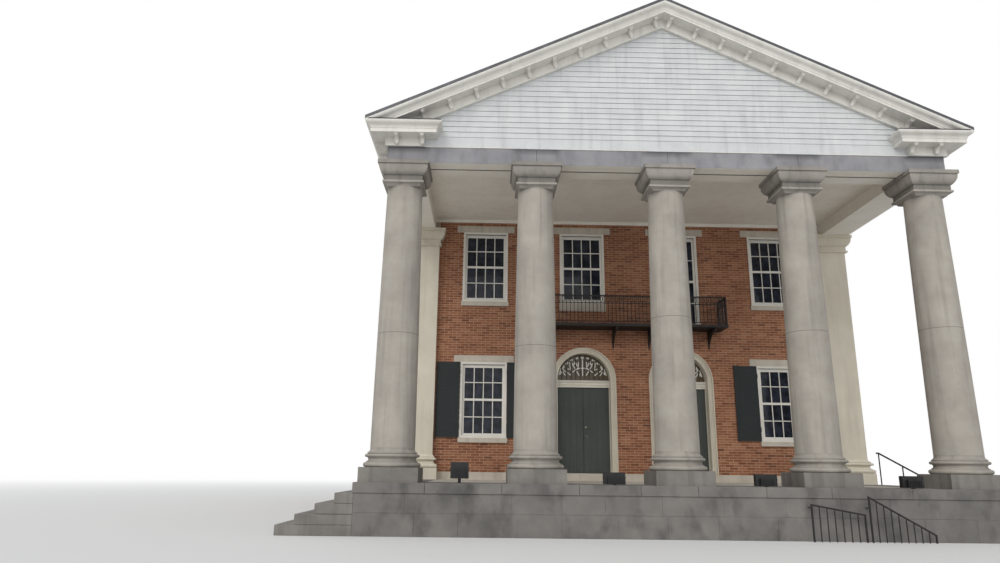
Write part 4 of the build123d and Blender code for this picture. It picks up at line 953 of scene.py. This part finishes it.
turns = [(0, 0, 0)] * front_count + [(0, 0, math.pi / 2)] * (2 * end_count)
fitted(repeated("balcony_rings", ring, spots, black_iron, turns))

curl = Shape()
curl_start, curl_end, curl_turns, curl_steps = 0.072, 0.014, 1.6, 22
for z, flip in ((0.16, 1), (0.33, -1), (0.50, 1)):
    path = []
    for k in range(curl_steps + 1):
        radius = curl_start + (curl_end - curl_start) * k / curl_steps
        at = flip * (math.pi / 2 + 2 * math.pi * curl_turns * k / curl_steps)
        path.append((radius * math.cos(at), z + radius * math.sin(at)))
    curl.bar(path, 0.011, -0.006, 0.006)
curl_spots = [(side * (balcony_high.x - 0.105), rail_y, rail_floor + 0.02) for side in (-1, 1)]
fitted(repeated("balcony_curls", curl, curl_spots, black_iron))

# %% Points of the brackets and the edge of the floor
bracket = Shape()
reach, drop, point_wide = 0.70, 0.425, 0.048
bracket.prism([(y, z - drop) for y, z in (
    (0, -0.09), (-0.022, 0.005), (-0.034, 0.045), (-0.012, 0.09), (0, 0.10))], *about(0, point_wide), "x")
bracket.prism([(y - reach, z) for y, z in (
    (0.01, -0.005), (0.01, -0.07), (-0.02, -0.105), (-0.035, -0.055), (-0.03, -0.005))],
              *about(0, point_wide), "x")
bracket_spots = [(x, wall_y, floor_foot) for x in (-2.21, -0.51, 0.51, 2.21)]
fitted(repeated("bracket_points", bracket, bracket_spots, black_iron))
fascia = Shape()
fascia.box((balcony_low.x, balcony_high.x), (wall_y - 0.762, wall_y - 0.75),
           (floor_foot - 0.012, rail_floor + 0.004))
fitted(fascia.piece("balcony_fascia", black_iron))

# %% [markdown]
# ## Scrolled brackets of the cornices
# Small drooping brackets hang in a row under every cornice: up both gable slopes, along the eaves and
# on the short returns. One bracket is modelled with its S-shaped side and repeated, turned square to
# the slope it hangs from.

# %% One bracket and all its places
modillion_wide, modillion_reach, modillion_pitch, ridge_gap, cheek = 0.100, 0.262, 0.605, 0.195, 0.012
modillion = Shape()
side_line = [(0, 0), (-modillion_reach, 0), (-modillion_reach, -0.030), (-0.246, -0.052), (-0.214, -0.060),
             (-0.176, -0.058), (-0.140, -0.066), (-0.108, -0.088), (-0.086, -0.124), (-0.072, -0.158),
             (-0.048, -0.180), (-0.022, -0.185), (0, -0.172)]
cheek_line = [(-0.02, -0.035), (-0.19, -0.035), (-0.15, -0.058), (-0.10, -0.080), (-0.07, -0.120),
              (-0.045, -0.160), (-0.02, -0.165)]
modillion.prism(side_line, *about(0, modillion_wide - 2 * cheek), "x")
modillion.box(about(0, modillion_wide), (-modillion_reach - 0.006, 0), (-0.024, 0.0))
for side in (-1, 1):
    modillion.prism(cheek_line, *(side * (modillion_wide / 2 - inset) for inset in (cheek, cheek / 3)), "x")

soffit_drop, bed_y, bed_z = 0.21 / slope_cos, gable_y + 0.06, wall_top + 0.2
spots, turns = [], []
for facing in (1, -1):
    heading = 0 if facing > 0 else math.pi
    for side in (-1, 1):
        for i in range(10):
            x = side * (ridge_gap + modillion_pitch * i)
            spots.append((x, -bed_y * facing, apex_z - abs(x) * roof_slope - soffit_drop))
            turns.append((0, side * facing * slope_turn, heading))
        for inset in (0.21, 0.79):
            spots.append((side * (beam_end - inset), -(gable_y + 0.09) * facing, bed_z))
            turns.append((0, 0, heading))
eave_run = 2 * (gable_y + 0.03)
eave_count = int(eave_run / modillion_pitch)
for side in (-1, 1):
    for i in range(eave_count):
        spots.append((side * (beam_end + 0.06), -eave_run / 2 + eave_run / eave_count * (i + 0.5), bed_z))
        turns.append((0, 0, side * math.pi / 2))
fitted(repeated("scrolled_brackets", modillion, spots, white_paint, turns),
       stands_for=["modillions"])

# %% Flashings of the returns
eave_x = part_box("roof_slopes")[1].x
eave_z = apex_z - eave_x * roof_slope
return_long = 0.766 + 0.46
edges = Shape()
for facing in (1, -1):
    for side in (-1, 1):
        across = (side * (beam_end - return_long), side * (eave_x - 0.03))
        for near, far, top in ((0.50, 0, 0.012), (0.508, 0.47, 0.028)):
            edges.box(across, (-(gable_y + near) * facing, -(gable_y + far) * facing),
                      (eave_z + 0.001, eave_z + top))
fitted(edges.piece("return_flashings", dark_metal))

# %% [markdown]
# ## Trim under the porch ceiling
# A small moulding hides the joint between ceiling and wall, and thin boards close the underside of the
# stone beam between the capitals. A dark strip under the joint behind the beam is painted shadow, and
# a drip board lies on the beam.

# %% Moulding, boards and painted shadow strips between the capitals
anta_side, beam_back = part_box("porch_ceiling")[1].x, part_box("timber_beams")[0].y
abacus_gap = 0.002
abacus_half = capital_high.x - 2 * bay_wide
ceiling_trim, painted_shadow_strip, drip_board = Shape(), Shape(), Shape()
ceiling_trim.prism([(wall_y - out, ceiling_z - drop) for out, drop in (
    (0, 0.075), (0.016, 0.075), (0.022, 0.045), (0.060, 0.014), (0.064, 0), (0, 0))], -anta_side, anta_side, "x")
for bay in range(-2, 2):
    low, high = bay_wide * bay + abacus_half + abacus_gap, bay_wide * (bay + 1) - abacus_half - abacus_gap
    ceiling_trim.box((low, high), (beam_low.y + 0.012, beam_high.y), (beam_foot - 0.006, beam_foot + 0.001))
    # Painted shadow: a dark strip under the joint behind the beam.
    painted_shadow_strip.box((low, high), (beam_high.y, beam_back + 0.020), (beam_foot - 0.004, beam_foot + 0.001))
    drip_board.box((low - 0.10, high + 0.10), (beam_low.y - 0.014, beam_low.y + 0.001),
                   (wall_top - 0.004, wall_top + 0.014))
fitted(ceiling_trim.piece("ceiling_trim", ceiling_paint))
fitted(painted_shadow_strip.piece("joint_strips", painted_shadow_finish))
fitted(drip_board.piece("drip_boards", white_paint))

# %% [markdown]
# ## Podium, steps and paving
# The podium is faced with large slabs in two courses under a coping of long stones, and the end steps
# are single stones laid in lengths. A short routine cuts each run into stones of uneven length with
# thin joints, and a small bevel rounds their edges like years of use.


# %% Stones laid in lengths
def stone_lengths(start, end, shortest, longest, joint=0.005):
    """Cuts a run into stones of uneven length with thin joints."""
    stones, at = [], start
    while end - at > 0.01:
        to = at + random.uniform(shortest, longest)
        to = end if end - to < shortest * 0.6 else to
        stones.append((at + joint / 2 if at > start else at, to - joint / 2 if to < end else end))
        at = to
    return stones


def rounded(piece, width, stands_for=()):
    """Rounds the edges of a piece a little, and fits it."""
    bevel = piece.modifiers.new("rounding", "BEVEL")
    bevel.width, bevel.segments, bevel.limit_method = width, 2, "ANGLE"
    return fitted(piece, stands_for=stands_for)


random.seed(12)
podium_x, podium_y = coping_high.x, coping_low.y
coping_wide = plinths_high.y - plinths_low.y + 0.16
coping = Shape()
for low, high in stone_lengths(-podium_x, podium_x, 1.15, 1.75):
    coping.box((low, high), (podium_y, podium_y + coping_wide), (coping_foot, coping_top))
for side in (-1, 1):
    for low, high in stone_lengths(podium_y + coping_wide + 0.0025, wall_y, 1.1, 1.5):
        coping.box((side * podium_x, side * (podium_x - coping_wide)), (low, high), (coping_foot, coping_top))
rounded(coping.piece("coping_stones", podium_stone), 0.010, ["podium_coping"])

slabs = Shape()
wall_face_x, wall_face_y = podium_x - 0.03, podium_y + 0.03
for foot, top in ((0.0, 0.44), (0.444, coping_foot)):
    for low, high in stone_lengths(-wall_face_x, wall_face_x, 0.85, 1.25, 0.006):
        slabs.box((low, high), (wall_face_y - random.uniform(0.004, 0.009), wall_face_y + 0.02), (foot, top))
rounded(slabs.piece("podium_slabs", podium_stone), 0.006)

riser, tread, worn = 0.205, 0.38, 0.004
for number, name in enumerate(("lowest_steps", "second_steps", "third_steps", "top_steps")):
    step = Shape()
    for side in (-1, 1):
        nose_x = wall_face_x + tread * (4 - number)
        for low, high in stone_lengths(wall_face_y, wall_y, 1.2, 1.9):
            sag = random.uniform(0.0, worn)
            step.box((side * wall_face_x, side * (nose_x - random.uniform(0.0, worn))), (low, high),
                     (riser * number, riser * (number + 1) - sag))
    rounded(step.piece(name + "_stones", step_stone), 0.014, [name])

paving = Shape()
paved_half = podium_x - coping_wide - 0.004
for near, far in stone_lengths(podium_y + coping_wide + 0.004, wall_y, 0.7, 0.95):
    for low, high in stone_lengths(-paved_half, paved_half, 0.9, 1.5):
        paving.box((low, high), (near, far), (coping_top - 0.16, coping_top - random.uniform(0.0, 0.002)))
rounded(paving.piece("porch_paving", paving_stone), 0.004, ["porch_floor"])

# %% Foundation blocks
blocks = Shape()
found_x, found_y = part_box("foundation")[1].x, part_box("foundation")[1].y
for levels in ((0.0, 0.36), (0.364, 0.70), (0.704, coping_top - 0.002)):
    for side in (-1, 1):
        for along in stone_lengths(wall_y + 0.002, found_y, 0.7, 1.3, 0.008):
            out = random.uniform(0.004, 0.010)
            blocks.box((side * (found_x - 0.02), side * (found_x + out)), along, levels)
    for along in stone_lengths(-found_x, found_x, 0.7, 1.3, 0.008):
        blocks.box(along, (found_y - 0.02, found_y + random.uniform(0.004, 0.010)), levels)
rounded(blocks.piece("foundation_blocks", podium_stone), 0.008)

# %% [markdown]
# ## Standing seams of the roof
# Sheet metal roofs are folded together in upright seams that run from eave to ridge. One seam is a thin
# fin as long as the slope, and the tree repeats it down both sides.

# %% Standing seams
seam_pitch, seam_high, seam_wide, seam_run = 0.45, 0.032, 0.010, 20.88
seam = Shape()
seam.box((0.10, eave_x / slope_cos - 0.06), about(0, seam_wide), (roof_thick - 0.002, roof_thick + seam_high))
seam_count = int(20.9 / seam_pitch)
spots, turns = [], []
for i in range(seam_count + 1):
    for heading in (math.pi, 0):
        spots.append((0, -seam_run / 2 + seam_run * i / seam_count, apex_z))
        turns.append((0, slope_turn, heading))
fitted(repeated("roof_seams", seam, spots, roof_metal, turns))

# %% [markdown]
# ## Floodlights
# Four floodlights on the podium shine at the building. The measured model has hood, housing and stem;
# added here are the pane in front, cooling ribs on the back and a bracket at each side.

# %% Panes, ribs and brackets of the floodlights
lamp_back, rib_count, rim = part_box("floodlights")[0].y, 7, 0.014
hood_y = lamp_back + 0.08
glass_y = hood_y + 0.12
low_lamp = (0.44, 0.235, 0.015)
lamps = {-4.585: (0.36, 0.325, 0.090), -1.425: low_lamp, 1.69: low_lamp, 4.715: low_lamp}
fittings, panes = Shape(), Shape()
for x, (wide, high, stem) in lamps.items():
    foot = coping_top + stem
    for i in range(rib_count):
        rib_x = x + (i - (rib_count - 1) / 2) * wide * 0.085
        fittings.box(about(rib_x, 0.008), (lamp_back - 0.018, lamp_back + 0.001),
                     (foot + 0.02, foot + high * 0.60))
    for side in (-1, 1):
        edge = x + side * wide / 2
        fittings.box((edge, edge + side * 0.006), (hood_y + 0.02, hood_y + 0.06), (foot, foot + high * 0.7))
        fittings.box((edge, edge + side * 0.016), (hood_y + 0.03, hood_y + 0.05),
                     (foot + high * 0.5, foot + high * 0.6))
    fittings.bar(rectangle(about(x, wide), (foot, foot + high)), rim, glass_y - 0.001, glass_y + rim,
                 closed=True, shift=rim / 2)
    panes.box(about(x, wide - 2 * rim), (glass_y - 0.001, glass_y + 0.004), (foot + rim, foot + high - rim))
fitted(fittings.piece("floodlight_fittings", lamp_black))
fitted(panes.piece("floodlight_panes", old_glass))
